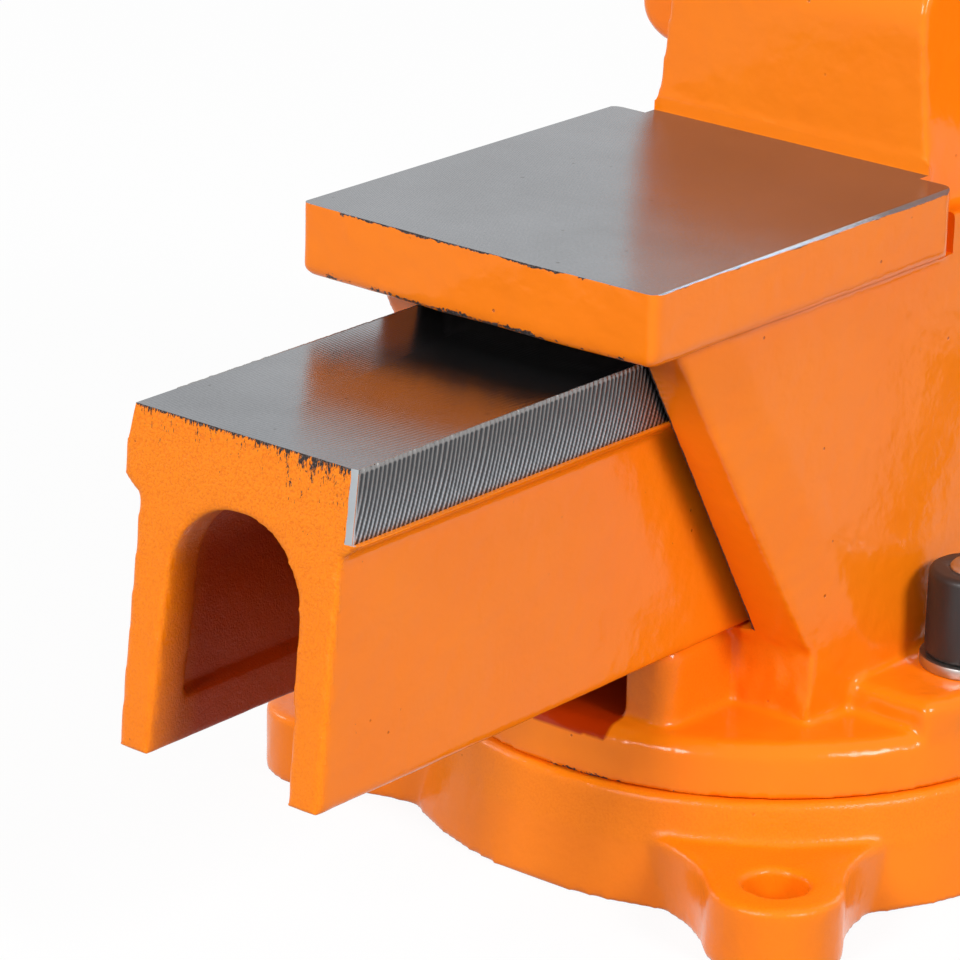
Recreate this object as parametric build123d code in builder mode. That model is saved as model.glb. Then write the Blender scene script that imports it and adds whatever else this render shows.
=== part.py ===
from build123d import *
import math
import os

os.makedirs("parts", exist_ok=True)

# Swivel bench vise. Origin: swivel axis at the underside of the base.
# +Z up, +Y towards the rear, where the hollow slide sticks out. Millimetres.

# Pose and travel
closing_travel = 20.0
closed_gap = 0.4
opening_travel = 130.0
base_clocking = 40.0

# Fits and clearances
running_clearance = 0.05
slide_clearance = 0.2
loose_clearance = 0.5
bar_clearance = 0.1
seat_gap = 0.02

# Base
base_height = 25.0
base_shoulder = 1.4
base_draft = 4.4
lug_count = 4
lug_standoff = 16.0
lug_end_radius = 15.0
lug_height = 16.0
lug_flare_radius = 35.0
mount_hole_radius = 7.0
base_edge_round = 1.5
slot_inset = 13.7
clamp_thread_radius = 6.0
slot_head_half_width = 10.5
slot_head_floor = 6.0
slot_head_roof = 16.0
slot_entry_radius = 12.5
slot_entry_angle = 85.0
spigot_radius = 25.0
washer_recess_radius = 33.0
washer_recess_depth = 14.2

# Turntable disc at the foot of the body
disc_overhang = 10.7
disc_taper = 1.5
disc_top = 37.0
disc_round = 2.5
pad_top = 44.0
pad_half_length = 27.0
pad_depth = 19.5
pad_round = 3.0
clamp_hole_clearance = 0.75

# Body: cheeks, roof and ledges round the slide
anvil_top = 150.0
anvil_thickness = 16.0
anvil_overhang = 3.95
anvil_rear = 105.7
anvil_front = -5.0
anvil_corner = 5.0
anvil_bulge = 1.0
anvil_lower_round = 2.2
anvil_edge_round = 1.0
cheek_lean = 4.3
cheek_rear_low = 40.0
cheek_knee = 52.5
cheek_rear_high = 89.0
cheek_bevel_depth = 2.5
cheek_bevel_length = 17.0
cheek_front = -49.0
cheek_front_foot = -60.0
cheek_front_knee = 66.0
roof_rear = 78.0
ledge_slot_half_width = 12.4
ledge_outer = 24.0
ledge_rear = 64.0
ledge_round = 4.0
ledge_corner_round = 5.0

# Slide
slide_top = 127.0
slide_bottom = 56.0
slide_width = 58.8
rail_height = 15.0
rail_step = 3.5
wall_half_width_high = 26.5
wall_half_width_low = 27.1
slide_rear = 174.4
slide_end_slant = 7.6
arch_radius = 17.1
opening_half_width = 18.7
cavity_arch_radius = 19.5
cavity_half_width = 20.6
cavity_band_height = 10.0
lip_thickness = 10.0
front_wall = 20.0

# Jaws
jaw_width = 125.0
jaw_top = 198.0
fixed_face = -54.0
jaw_depth = 22.0
jaw_side_height = 31.0
fixed_flare_height = 20.0
moving_flare_height = 34.0
jaw_round = 4.0
neck_inset = 5.9
neck_draft = 0.1
neck_round_height = 14.0
neck_drop = 4.0
plate_thickness = 8.0
plate_height = 30.0
plate_proud = 2.0
plate_chamfer = 1.0
serration_pitch = 3.0
serration_depth = 0.9
serration_margin = 3.0
plate_screw_spacing = 80.0
plate_screw_radius = 4.0
plate_screw_head_radius = 7.5
plate_screw_length = 20.0
plate_screw_key = 2.5
plate_screw_key_depth = 4.0
plate_screw_tip = 1.0

# Front of the moving jaw
spine_half_width = 31.0
spine_front = 52.0
spine_drop = 8.0
boss_radius = 30.0
boss_front = 64.0
boss_round = 3.0
spine_round = 9.0

# Lead screw and its nut
screw_height = 94.0
screw_radius = 11.0
screw_engagement = 40.0
screw_end_chamfer = 2.0
thrust_washer_thickness = 3.0
thrust_washer_radius = 19.0
head_radius = 20.0
head_length = 38.0
head_round = 3.0
nut_radius = 15.8
nut_length = 60.0
nut_column_length = 52.0
nut_round = 1.5
collar_radius = 16.0
collar_length = 10.0
pin_radius = 2.5
spring_length = 20.0
spring_wire = 2.8
spring_turns = 4

# Handle
bar_radius = 7.0
bar_length = 226.0
ball_radius = 11.5
ball_bore_depth = 11.0
ball_flat = 9.0

# Pivot bolt and washer under the base
pivot_thread_radius = 6.0
pivot_head_flats = 19.0
pivot_head_height = 7.5
pivot_washer_thickness = 5.0
pivot_washer_radius = 31.0
pivot_bolt_reach = 20.0
pivot_play = 0.5

# Swivel clamps
clamp_head_half_width = 9.5
clamp_head_height = 8.0
clamp_washer_radius = 11.5
clamp_washer_thickness = 2.5
lever_hub_radius = 10.5
lever_hub_height = 20.0
lever_reach = 74.0
lever_rise = 30.0
lever_root_radius = 6.0
lever_tip_radius = 4.5
lever_ball_radius = 9.0
lever_swing_angle = 20.0
lever_hub_gap = 1.9

# Margins for picking edges
near_edge = 1.0
same_place = 0.1

# Worked-out places, all widths starting from the jaws
disc_radius = jaw_width / 2 + disc_overhang
disc_top_radius = disc_radius - disc_taper
base_top_radius = disc_radius + base_shoulder
base_foot_radius = base_top_radius + base_draft
lug_pitch_radius = base_foot_radius + lug_standoff
slot_radius = disc_radius - slot_inset
pad_inner = slot_radius - pad_depth
cheek_half_width_low = slot_radius - lever_hub_radius - lever_hub_gap
cheek_half_width_high = cheek_half_width_low - cheek_lean
anvil_width = 2 * (cheek_half_width_high + anvil_overhang)
neck_half_width = cheek_half_width_high - neck_inset
flare_bend = jaw_top - jaw_side_height - fixed_flare_height / 2
neck_crown = jaw_top - neck_drop
neck_rear_top = neck_crown - neck_round_height
spine_crown = jaw_top - spine_drop
cheek_shoulder = anvil_top - anvil_thickness
body_reach = anvil_rear - 2 * cheek_front_foot
channel_half_width = slide_width / 2 + slide_clearance
channel_roof = slide_top + slide_clearance
channel_floor = slide_bottom - slide_clearance
spigot_foot = washer_recess_depth - pivot_play
slot_half_width = clamp_thread_radius + loose_clearance
moving_face = fixed_face - closing_travel - closed_gap
fixed_seat = fixed_face + plate_thickness
moving_seat = moving_face - plate_thickness
fixed_casting_face = fixed_seat - (plate_thickness - plate_proud)
moving_casting_face = moving_seat + (plate_thickness - plate_proud)
fixed_jaw_back = fixed_casting_face + jaw_depth
moving_jaw_back = moving_casting_face - jaw_depth
plate_low = jaw_top - plate_height
plate_middle = jaw_top - plate_height / 2
plate_screw_bore = plate_screw_length + serration_depth + loose_clearance - plate_thickness
boss_face = moving_casting_face - boss_front
spine_face = moving_casting_face - spine_front
cavity_front = moving_casting_face - front_wall
collar_front = cavity_front + spring_length
screw_end = opening_travel + screw_engagement - nut_length / 2
head_start = boss_face - thrust_washer_thickness
head_middle = head_start - head_length / 2
clamp_height = pad_top + clamp_washer_thickness


# Base: drafted drum with four lugs, a circular T-slot and the pivot bore
with BuildSketch() as lug:
    flare_reach = base_top_radius + lug_flare_radius
    flare_gap = lug_end_radius + lug_flare_radius
    flare_swing = math.acos(
        (flare_reach**2 + lug_pitch_radius**2 - flare_gap**2) / (2 * flare_reach * lug_pitch_radius)
    )
    flare_centre = Vector(flare_reach, 0).rotate(Axis.Z, math.degrees(flare_swing))
    lug_centre = Vector(lug_pitch_radius, 0)
    to_drum = -flare_centre.normalized() * lug_flare_radius
    to_lug = (lug_centre - flare_centre).normalized() * lug_flare_radius
    flare_middle = flare_centre + (to_drum + to_lug).normalized() * lug_flare_radius
    drum_point = flare_centre + to_drum
    lug_point = flare_centre + to_lug
    with BuildLine():
        Line((0, 0), drum_point)
        ThreePointArc(drum_point, flare_middle, lug_point)
        mirror(about=Plane.XZ)
        ThreePointArc(lug_point, lug_centre + Vector(lug_end_radius, 0), (lug_point.X, -lug_point.Y))
    make_face()

with BuildPart() as lugs:
    with BuildSketch():
        with PolarLocations(0, lug_count, start_angle=base_clocking):
            add(lug.sketch)
    extrude(amount=lug_height)
    lug_rims = lugs.edges().group_by(Axis.Z)[-1].filter_by(GeomType.CIRCLE)
    fillet(lug_rims, base_edge_round)

with BuildPart() as base:
    with BuildSketch(Plane.XZ):
        with BuildLine():
            Polyline(
                (0, 0),
                (base_foot_radius, 0),
                (base_top_radius, base_height),
                (0, base_height),
                close=True,
            )
        make_face()
    revolve(axis=Axis.Z)
    fillet(base.edges().filter_by(GeomType.CIRCLE).group_by(Axis.Z)[-1], base_edge_round)
    add(lugs.part)
    with BuildSketch():
        with PolarLocations(lug_pitch_radius, lug_count, start_angle=base_clocking):
            Circle(mount_hole_radius)
        Circle(spigot_radius + slide_clearance)
    extrude(amount=base_height, mode=Mode.SUBTRACT)
    with BuildSketch():
        Circle(washer_recess_radius)
    extrude(amount=washer_recess_depth, mode=Mode.SUBTRACT)
    with BuildSketch(Plane.XZ):
        with Locations((slot_radius, (slot_head_roof + base_height) / 2)):
            Rectangle(2 * slot_half_width, base_height - slot_head_roof)
        with Locations((slot_radius, (slot_head_floor + slot_head_roof) / 2)):
            Rectangle(2 * slot_head_half_width, slot_head_roof - slot_head_floor)
    revolve(axis=Axis.Z, mode=Mode.SUBTRACT)
    with BuildSketch():
        with PolarLocations(slot_radius, 2, start_angle=slot_entry_angle):
            Circle(slot_entry_radius)
    extrude(amount=slot_head_floor, mode=Mode.SUBTRACT)
base.part.label = "base"
export_step(base.part, "parts/base.step")


def jaw_outline(root_half_width, root_height, flare_height):
    """Face of a jaw head: wide at the top, flaring in to its root by two arcs."""
    half = jaw_width / 2
    side_low = jaw_top - jaw_side_height
    flare_low = side_low - flare_height
    with BuildSketch() as outline:
        with BuildLine():
            Line((0, jaw_top), (half, jaw_top))
            side = Line((half, jaw_top), (half, side_low))
            middle = ((half + root_half_width) / 2, (side_low + flare_low) / 2)
            shoulder = TangentArc(side @ 1, middle, tangent=(0, -1))
            waist = TangentArc(shoulder @ 1, (root_half_width, flare_low), tangent=shoulder % 1)
            root = Line(waist @ 1, (root_half_width, root_height))
            Line(root @ 1, (0, root_height))
            mirror(about=Plane.YZ)
        make_face()
    return outline.sketch


def slant_face(inset):
    """Side view of what is cut away behind the slanted rear end of the slide."""
    top = slide_rear - inset
    foot = top + slide_end_slant
    beyond = slide_rear + 2 * slide_end_slant
    with BuildSketch() as beyond_end:
        with BuildLine():
            Polyline(
                (top, slide_top),
                (beyond, slide_top),
                (beyond, slide_bottom),
                (foot, slide_bottom),
                close=True,
            )
        make_face()
    return beyond_end.sketch


# Raised pads on the disc that the swivel clamps press on
with BuildPart() as clamp_pads:
    with BuildSketch(Plane.XY.offset(base_height + disc_round)):
        Rectangle(2 * disc_top_radius, 2 * pad_half_length)
        Circle(disc_top_radius, mode=Mode.INTERSECT)
        Rectangle(2 * pad_inner, 2 * disc_top_radius, mode=Mode.SUBTRACT)
    extrude(amount=pad_top - base_height - disc_round)
    fillet(clamp_pads.edges().group_by(Axis.Z)[-1], pad_round)

# Ledges that carry the slide behind the cheeks
with BuildPart() as rear_ledges:
    with BuildSketch(Plane.XY.offset(disc_top - disc_round)):
        with Locations((0, (ledge_rear + cheek_front) / 2)):
            Rectangle(2 * ledge_outer, ledge_rear - cheek_front)
            Rectangle(2 * ledge_slot_half_width, ledge_rear - cheek_front, mode=Mode.SUBTRACT)
    extrude(amount=channel_floor - disc_top + disc_round)
    outer_uprights = rear_ledges.edges().filter_by(Axis.Z).filter_by(
        lambda e: abs(e.center().X) > ledge_outer - near_edge and e.center().Y > 0
    )
    fillet(outer_uprights, ledge_corner_round)
    rims = rear_ledges.faces().sort_by(Axis.Z)[-2:].edges().filter_by(
        lambda e: abs(e.center().X) > ledge_slot_half_width + near_edge
        and e.center().Y > cheek_front + near_edge
    )
    fillet(rims, ledge_round)

# Anvil block, its rear edge slightly bowed
with BuildPart() as anvil_block:
    with BuildSketch(Plane.XY.offset(cheek_shoulder)) as anvil_outline:
        with BuildLine():
            front_edge = Line((0, anvil_front), (anvil_width / 2, anvil_front))
            side_edge = Line(front_edge @ 1, (anvil_width / 2, anvil_rear - anvil_bulge))
            ThreePointArc(
                side_edge @ 1,
                (0, anvil_rear),
                (-anvil_width / 2, anvil_rear - anvil_bulge),
            )
            Line((0, anvil_front), (-anvil_width / 2, anvil_front))
            Line((-anvil_width / 2, anvil_front), (-anvil_width / 2, anvil_rear - anvil_bulge))
        make_face()
        fillet(anvil_outline.vertices().group_by(Axis.Y)[-1], anvil_corner)
    extrude(amount=anvil_thickness)
    rims = anvil_block.edges().filter_by(lambda e: e.center().Y > anvil_front + near_edge).group_by(Axis.Z)
    fillet(rims[-1], anvil_edge_round)
    fillet(rims[0], anvil_lower_round)

# Neck of the fixed jaw, its sides leaning in
with BuildPart() as jaw_neck:
    with BuildSketch(Plane.YZ):
        with BuildLine():
            rise = Line((anvil_front, cheek_shoulder), (anvil_front, neck_rear_top))
            crown = TangentArc(rise @ 1, (fixed_jaw_back, neck_crown), tangent=rise % 1)
            inside = fixed_jaw_back - jaw_round
            Polyline(crown @ 1, (inside, neck_crown), (inside, cheek_shoulder), rise @ 0)
        make_face()
    extrude(amount=cheek_half_width_high, both=True)
    with BuildSketch(Plane.XZ.offset(-anvil_front)):
        with BuildLine():
            lean = neck_draft * (neck_crown - anvil_top)
            sweep_out = neck_draft * anvil_thickness
            Polyline(
                (0, cheek_shoulder),
                (neck_half_width + sweep_out, cheek_shoulder),
                (neck_half_width - lean, neck_crown),
                (0, neck_crown),
            )
            mirror(about=Plane.YZ)
        make_face()
    extrude(amount=anvil_front - inside, mode=Mode.INTERSECT)

# Head of the fixed jaw, rounded at the back before it joins the body
with BuildPart() as fixed_jaw_head:
    with BuildSketch(Plane.XZ.offset(-fixed_jaw_back)):
        add(jaw_outline(cheek_half_width_high, slide_top - rail_height, fixed_flare_height))
    extrude(amount=jaw_depth)
    head_back = fixed_jaw_head.edges().filter_by(
        lambda e: abs(e.center().Y - fixed_jaw_back) < same_place and e.center().Z > flare_bend
    )
    fillet(head_back.filter_by(lambda e: abs(e.center().X) > neck_half_width), jaw_round)

# Body: one casting with turntable disc, cheeks, anvil and fixed jaw
with BuildPart() as vise_body:
    with BuildSketch(Plane.YZ):
        with BuildLine():
            Polyline(
                (cheek_rear_low, base_height + pad_round),
                (cheek_rear_low, cheek_knee),
                (cheek_rear_high, cheek_shoulder),
                (cheek_rear_high, anvil_top - anvil_thickness / 2),
                (cheek_front, anvil_top - anvil_thickness / 2),
                (cheek_front, cheek_front_knee),
                (cheek_front_foot, disc_top),
                (cheek_front_foot, base_height + pad_round),
                close=True,
            )
        make_face()
    extrude(amount=cheek_half_width_low + cheek_bevel_depth, both=True)
    with BuildSketch(Plane.XZ.offset(-anvil_rear)):
        with BuildLine():
            Polyline(
                (0, base_height),
                (cheek_half_width_low, base_height),
                (cheek_half_width_low, cheek_knee),
                (cheek_half_width_high, cheek_shoulder),
                (cheek_half_width_high, anvil_top),
                (0, anvil_top),
            )
            mirror(about=Plane.YZ)
        make_face()
    extrude(amount=body_reach, mode=Mode.INTERSECT)
    for sign in (-1, 1):
        low_corner = Vector(sign * (cheek_half_width_low - cheek_bevel_depth), cheek_rear_low, cheek_knee)
        high_half = cheek_half_width_high - cheek_bevel_depth
        high_corner = Vector(sign * high_half, cheek_rear_high, cheek_shoulder)
        ahead = low_corner + Vector(sign * cheek_bevel_depth, -cheek_bevel_length, 0)
        bevel_normal = (high_corner - low_corner).cross(ahead - low_corner) * sign
        split(bisect_by=Plane(origin=low_corner, z_dir=bevel_normal), keep=Keep.BOTTOM)

    add(anvil_block.part)

    # Neck and head of the fixed jaw
    add(jaw_neck.part)
    add(fixed_jaw_head.part)
    with BuildSketch(Plane.YZ):
        with Locations(((fixed_seat + fixed_casting_face) / 2, plate_middle)):
            Rectangle(plate_thickness - plate_proud, plate_height)
    extrude(amount=jaw_width / 2, both=True, mode=Mode.SUBTRACT)

    # Turntable disc with its spigot
    with BuildSketch(Plane.XZ):
        with BuildLine():
            Polyline(
                (0, spigot_foot),
                (spigot_radius, spigot_foot),
                (spigot_radius, base_height),
                (disc_radius, base_height),
                (disc_top_radius, disc_top - disc_round),
                (disc_top_radius - disc_round, disc_top),
                (0, disc_top),
                close=True,
            )
        make_face()
    revolve(axis=Axis.Z)
    add(clamp_pads.part)
    add(rear_ledges.part)

    # Channel for the slide, with the slot below it
    with BuildSketch(Plane.XZ.offset(-anvil_rear)):
        with Locations((0, (channel_floor + channel_roof) / 2)):
            Rectangle(2 * channel_half_width, channel_roof - channel_floor)
        with Locations((0, (disc_top + channel_roof) / 2)):
            Rectangle(2 * ledge_slot_half_width, channel_roof - disc_top)
    extrude(amount=body_reach, mode=Mode.SUBTRACT)
    with BuildSketch(Plane.XZ.offset(-anvil_rear)):
        with Locations((0, (channel_floor + cheek_shoulder) / 2)):
            Rectangle(2 * channel_half_width, cheek_shoulder - channel_floor)
    extrude(amount=anvil_rear - roof_rear, mode=Mode.SUBTRACT)

    # Bores for the clamp bolts, the pivot bolt and the plate screws
    with BuildSketch(Plane.XY.offset(spigot_foot)):
        with Locations((-slot_radius, 0), (slot_radius, 0)):
            Circle(clamp_thread_radius + clamp_hole_clearance)
        Circle(pivot_thread_radius + loose_clearance)
    extrude(amount=pad_top - spigot_foot, mode=Mode.SUBTRACT)
    with BuildSketch(Plane.XZ.offset(-fixed_seat)):
        with Locations((0, plate_middle)):
            with GridLocations(plate_screw_spacing, 1, 2, 1):
                Circle(plate_screw_radius + seat_gap)
    extrude(amount=-plate_screw_bore, mode=Mode.SUBTRACT)
vise_body.part.label = "vise_body"
export_step(vise_body.part, "parts/vise_body.step")

# Hollow inside the slide, stopping short of the rear lip
with BuildPart() as slide_cavity:
    with BuildSketch(Plane.XZ.offset(-slide_rear - slide_end_slant)):
        with BuildLine():
            crown = CenterArc((0, screw_height), cavity_arch_radius, 0, 90)
            band_top = slide_bottom + cavity_band_height
            Polyline(
                crown @ 0,
                (cavity_half_width, band_top),
                (opening_half_width, band_top),
                (opening_half_width, slide_bottom),
                (0, slide_bottom),
            )
            mirror(about=Plane.YZ)
        make_face()
    extrude(amount=slide_rear + slide_end_slant - cavity_front)
    with BuildSketch(Plane.YZ):
        add(slant_face(lip_thickness))
    extrude(amount=slide_width, both=True, mode=Mode.SUBTRACT)

# Front of the moving jaw: spine and spindle boss
with BuildPart() as jaw_spine:
    with BuildSketch(Plane.YZ):
        with BuildLine():
            inner = moving_jaw_back + jaw_depth / 2
            foot = Line((spine_face, slide_bottom + boss_round), (spine_face, screw_height + boss_radius))
            brow = TangentArc(foot @ 1, (moving_jaw_back, spine_crown), tangent=(0, 1))
            Polyline(
                brow @ 1,
                (inner, spine_crown),
                (inner, slide_bottom),
                (spine_face + boss_round, slide_bottom),
                foot @ 0,
            )
        make_face()
    extrude(amount=spine_half_width, both=True)
    front_edges = jaw_spine.edges().filter_by(
        lambda e: abs(e.center().X) > spine_half_width - near_edge
        and e.center().Y < moving_jaw_back
        and e.center().Z > slide_bottom + boss_round
    )
    fillet(front_edges, spine_round)

# Moving jaw: one casting with the hollow slide
with BuildPart() as moving_jaw:
    with BuildSketch(Plane.XZ.offset(-slide_rear - slide_end_slant)):
        with BuildLine():
            rail_low = slide_top - rail_height
            Polyline(
                (0, slide_top),
                (slide_width / 2, slide_top),
                (slide_width / 2, rail_low),
                (wall_half_width_high, rail_low - rail_step),
                (wall_half_width_low, slide_bottom),
                (0, slide_bottom),
            )
            mirror(about=Plane.YZ)
        make_face()
    extrude(amount=slide_rear + slide_end_slant - moving_casting_face)
    with BuildSketch(Plane.YZ):
        add(slant_face(0))
    extrude(amount=slide_width, both=True, mode=Mode.SUBTRACT)
    add(jaw_spine.part)
    with BuildSketch(Plane.XZ.offset(-moving_casting_face)):
        add(jaw_outline(slide_width / 2, slide_bottom + boss_round, moving_flare_height))
    extrude(amount=jaw_depth)
    jaw_front = moving_jaw.edges().filter_by(
        lambda e: abs(e.center().Y - moving_jaw_back) < same_place and e.center().Z > slide_top
    )
    outer_front = jaw_front.filter_by(lambda e: abs(e.center().X) > spine_half_width + near_edge)
    fillet(outer_front, jaw_round)
    with BuildSketch(Plane.YZ):
        with Locations(((moving_seat + moving_casting_face) / 2, plate_middle)):
            Rectangle(plate_thickness - plate_proud, plate_height)
    extrude(amount=jaw_width / 2, both=True, mode=Mode.SUBTRACT)
    with BuildSketch(Plane.XZ.offset(-spine_face - boss_round)):
        with Locations((0, screw_height)):
            Circle(boss_radius)
    extrude(amount=spine_face + boss_round - boss_face)
    fillet(moving_jaw.edges().filter_by(GeomType.CIRCLE).sort_by(Axis.Y)[0], boss_round)
    add(slide_cavity.part, mode=Mode.SUBTRACT)
    with BuildSketch(Plane.XZ.offset(-slide_rear - slide_end_slant)):
        with BuildLine():
            crown = CenterArc((0, screw_height), arch_radius, 0, 90)
            Polyline(crown @ 0, (opening_half_width, slide_bottom), (0, slide_bottom))
            mirror(about=Plane.YZ)
        make_face()
    extrude(amount=2 * lip_thickness + slide_end_slant, mode=Mode.SUBTRACT)
    with BuildSketch(Plane.XZ.offset(-cavity_front)):
        with Locations((0, screw_height)):
            Circle(screw_radius + running_clearance)
    extrude(amount=cavity_front - boss_face, mode=Mode.SUBTRACT)
    with BuildSketch(Plane.XZ.offset(-moving_seat)):
        with Locations((0, plate_middle)):
            with GridLocations(plate_screw_spacing, 1, 2, 1):
                Circle(plate_screw_radius + seat_gap)
    extrude(amount=plate_screw_bore, mode=Mode.SUBTRACT)
moving_jaw.part.label = "moving_jaw"
export_step(moving_jaw.part, "parts/moving_jaw.step")

# One countersunk socket screw, head up
with BuildPart() as plate_screw:
    sink_depth = plate_screw_head_radius - plate_screw_radius
    with BuildSketch(Plane.XZ):
        with BuildLine():
            Polyline(
                (0, 0),
                (plate_screw_head_radius, 0),
                (plate_screw_radius, -sink_depth),
                (plate_screw_radius, -plate_screw_length + plate_screw_tip),
                (plate_screw_radius - plate_screw_tip, -plate_screw_length),
                (0, -plate_screw_length),
                close=True,
            )
        make_face()
    revolve(axis=Axis.Z)
    with BuildSketch():
        RegularPolygon(plate_screw_key, 6)
    extrude(amount=-plate_screw_key_depth, mode=Mode.SUBTRACT)

# Steel jaw plates with horizontal teeth, and their screws
for jaw, face, outward in (("fixed", fixed_face, -1), ("moving", moving_face, 1)):
    with BuildPart() as jaw_plate:
        with BuildSketch(Plane.YZ):
            with Locations((face - outward * plate_thickness / 2, plate_middle)):
                Rectangle(plate_thickness, plate_height)
        extrude(amount=jaw_width / 2, both=True)
        grip_face = jaw_plate.faces().sort_by(Axis.Y)[-1 if outward > 0 else 0]
        chamfer(grip_face.edges(), plate_chamfer)
        tooth_count = int((plate_height - 2 * serration_margin) / serration_pitch)
        with BuildSketch(Plane.YZ):
            with Locations((face, plate_middle)):
                with GridLocations(1, serration_pitch, 1, tooth_count):
                    Polygon(
                        (outward * serration_depth, 2 * serration_depth),
                        (outward * serration_depth, -2 * serration_depth),
                        (-outward * serration_depth, 0),
                        align=None,
                    )
        extrude(amount=jaw_width / 2, both=True, mode=Mode.SUBTRACT)
        sink_planes = [
            Plane(origin=(x, face - outward * serration_depth, plate_middle), z_dir=(0, outward, 0))
            for x in (-plate_screw_spacing / 2, plate_screw_spacing / 2)
        ]
        with Locations(*sink_planes):
            CounterSinkHole(
                plate_screw_radius + seat_gap,
                plate_screw_head_radius + seat_gap,
                plate_thickness,
                counter_sink_angle=90,
            )
    jaw_plate.part.label = f"{jaw}_jaw_plate"
    export_step(jaw_plate.part, f"parts/{jaw}_jaw_plate.step")
    with BuildPart() as plate_screws:
        with Locations(*sink_planes):
            add(plate_screw.part)
    plate_screws.part.label = f"{jaw}_plate_screws"
    export_step(plate_screws.part, f"parts/{jaw}_plate_screws.step")

# Lead screw: journal, threaded length and cross-bored head
screw_axis = Axis((0, 0, screw_height), (0, 1, 0))
collar_middle = collar_front + collar_length / 2
with BuildPart() as lead_screw:
    with BuildSketch(Plane.YZ):
        with BuildLine():
            Polyline(
                (head_start - head_length, screw_height),
                (head_start - head_length, screw_height + head_radius),
                (head_start, screw_height + head_radius),
                (head_start, screw_height + screw_radius),
                (screw_end - screw_end_chamfer, screw_height + screw_radius),
                (screw_end, screw_height + screw_radius - screw_end_chamfer),
                (screw_end, screw_height),
                close=True,
            )
        make_face()
    revolve(axis=screw_axis)
    head_rims = lead_screw.edges().filter_by(GeomType.CIRCLE).filter_by(
        lambda e: abs(e.radius - head_radius) < same_place
    )
    fillet(head_rims, head_round)
    with BuildSketch(Plane.YZ):
        with Locations((head_middle, screw_height)):
            Circle(bar_radius + bar_clearance)
        with Locations((collar_middle, screw_height)):
            Circle(pin_radius + seat_gap)
    extrude(amount=head_radius, both=True, mode=Mode.SUBTRACT)
lead_screw.part.label = "lead_screw"
export_step(lead_screw.part, "parts/lead_screw.step")

# Thrust washer between the screw's head and the boss
with BuildPart() as thrust_washer:
    with BuildSketch(Plane.XZ.offset(-boss_face)):
        with Locations((0, screw_height)):
            Circle(thrust_washer_radius)
            Circle(screw_radius + bar_clearance, mode=Mode.SUBTRACT)
    extrude(amount=thrust_washer_thickness)
thrust_washer.part.label = "thrust_washer"
export_step(thrust_washer.part, "parts/thrust_washer.step")

# Collar and cross pin that hold the screw in the moving jaw
with BuildPart() as retaining_collar:
    with BuildSketch(Plane.XZ.offset(-collar_front - collar_length)):
        with Locations((0, screw_height)):
            Circle(collar_radius)
            Circle(screw_radius + seat_gap, mode=Mode.SUBTRACT)
    extrude(amount=collar_length)
    collar_rims = retaining_collar.edges().filter_by(GeomType.CIRCLE).filter_by(
        lambda e: abs(e.radius - collar_radius) < same_place
    )
    chamfer(collar_rims, nut_round)
    with BuildSketch(Plane.YZ):
        with Locations((collar_middle, screw_height)):
            Circle(pin_radius + seat_gap)
    extrude(amount=collar_radius, both=True, mode=Mode.SUBTRACT)
retaining_collar.part.label = "retaining_collar"
export_step(retaining_collar.part, "parts/retaining_collar.step")

with BuildPart() as collar_pin:
    with BuildSketch(Plane.YZ):
        with Locations((collar_middle, screw_height)):
            Circle(pin_radius)
    extrude(amount=collar_radius - loose_clearance, both=True)
collar_pin.part.label = "collar_pin"
export_step(collar_pin.part, "parts/collar_pin.step")

# Square-wire spring that holds the screw's head against the jaw
with BuildPart() as screw_spring:
    coil_radius = collar_radius - spring_wire / 2
    coil_height = spring_length - spring_wire - 2 * seat_gap
    coil_start = cavity_front + spring_wire / 2 + seat_gap
    with BuildLine() as coil:
        Helix(
            coil_height / spring_turns,
            coil_height,
            coil_radius,
            center=(0, coil_start, screw_height),
            direction=(0, 1, 0),
        )
    with BuildSketch(Plane(origin=coil.line @ 0, z_dir=coil.line % 0)):
        Rectangle(spring_wire, spring_wire)
    sweep(path=coil.line, is_frenet=True)
screw_spring.part.label = "screw_spring"
export_step(screw_spring.part, "parts/screw_spring.step")

# Lead nut: barrel on a column that stands on the disc between the ledges
with BuildPart() as lead_nut:
    with BuildSketch(Plane.XY.offset(disc_top)):
        Rectangle(2 * (ledge_slot_half_width - slide_clearance), nut_column_length)
    extrude(amount=screw_height - disc_top)
    fillet(lead_nut.edges().filter_by(Axis.Z), nut_round)
    with BuildSketch(Plane.XZ.offset(-nut_length / 2)):
        with Locations((0, screw_height)):
            Circle(nut_radius)
    extrude(amount=nut_length)
    barrel_rims = lead_nut.edges().filter_by(GeomType.CIRCLE).filter_by(
        lambda e: abs(e.radius - nut_radius) < same_place
        and abs(abs(e.center().Y) - nut_length / 2) < same_place
    )
    chamfer(barrel_rims, nut_round)
    with BuildSketch(Plane.XZ.offset(-nut_length / 2)):
        with Locations((0, screw_height)):
            Circle(screw_radius + running_clearance)
    extrude(amount=nut_length, mode=Mode.SUBTRACT)
    with BuildSketch(Plane.XY.offset(disc_top)):
        Circle(pivot_thread_radius + seat_gap)
    extrude(amount=pivot_bolt_reach + nut_round, mode=Mode.SUBTRACT)
lead_nut.part.label = "lead_nut"
export_step(lead_nut.part, "parts/lead_nut.step")

# Handle bar and its two end balls
with BuildPart() as handle_bar:
    with BuildSketch(Plane.YZ):
        with Locations((head_middle, screw_height)):
            Circle(bar_radius)
    extrude(amount=bar_length / 2, both=True)
    chamfer(handle_bar.edges(), plate_chamfer)
handle_bar.part.label = "handle_bar"
export_step(handle_bar.part, "parts/handle_bar.step")

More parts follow.
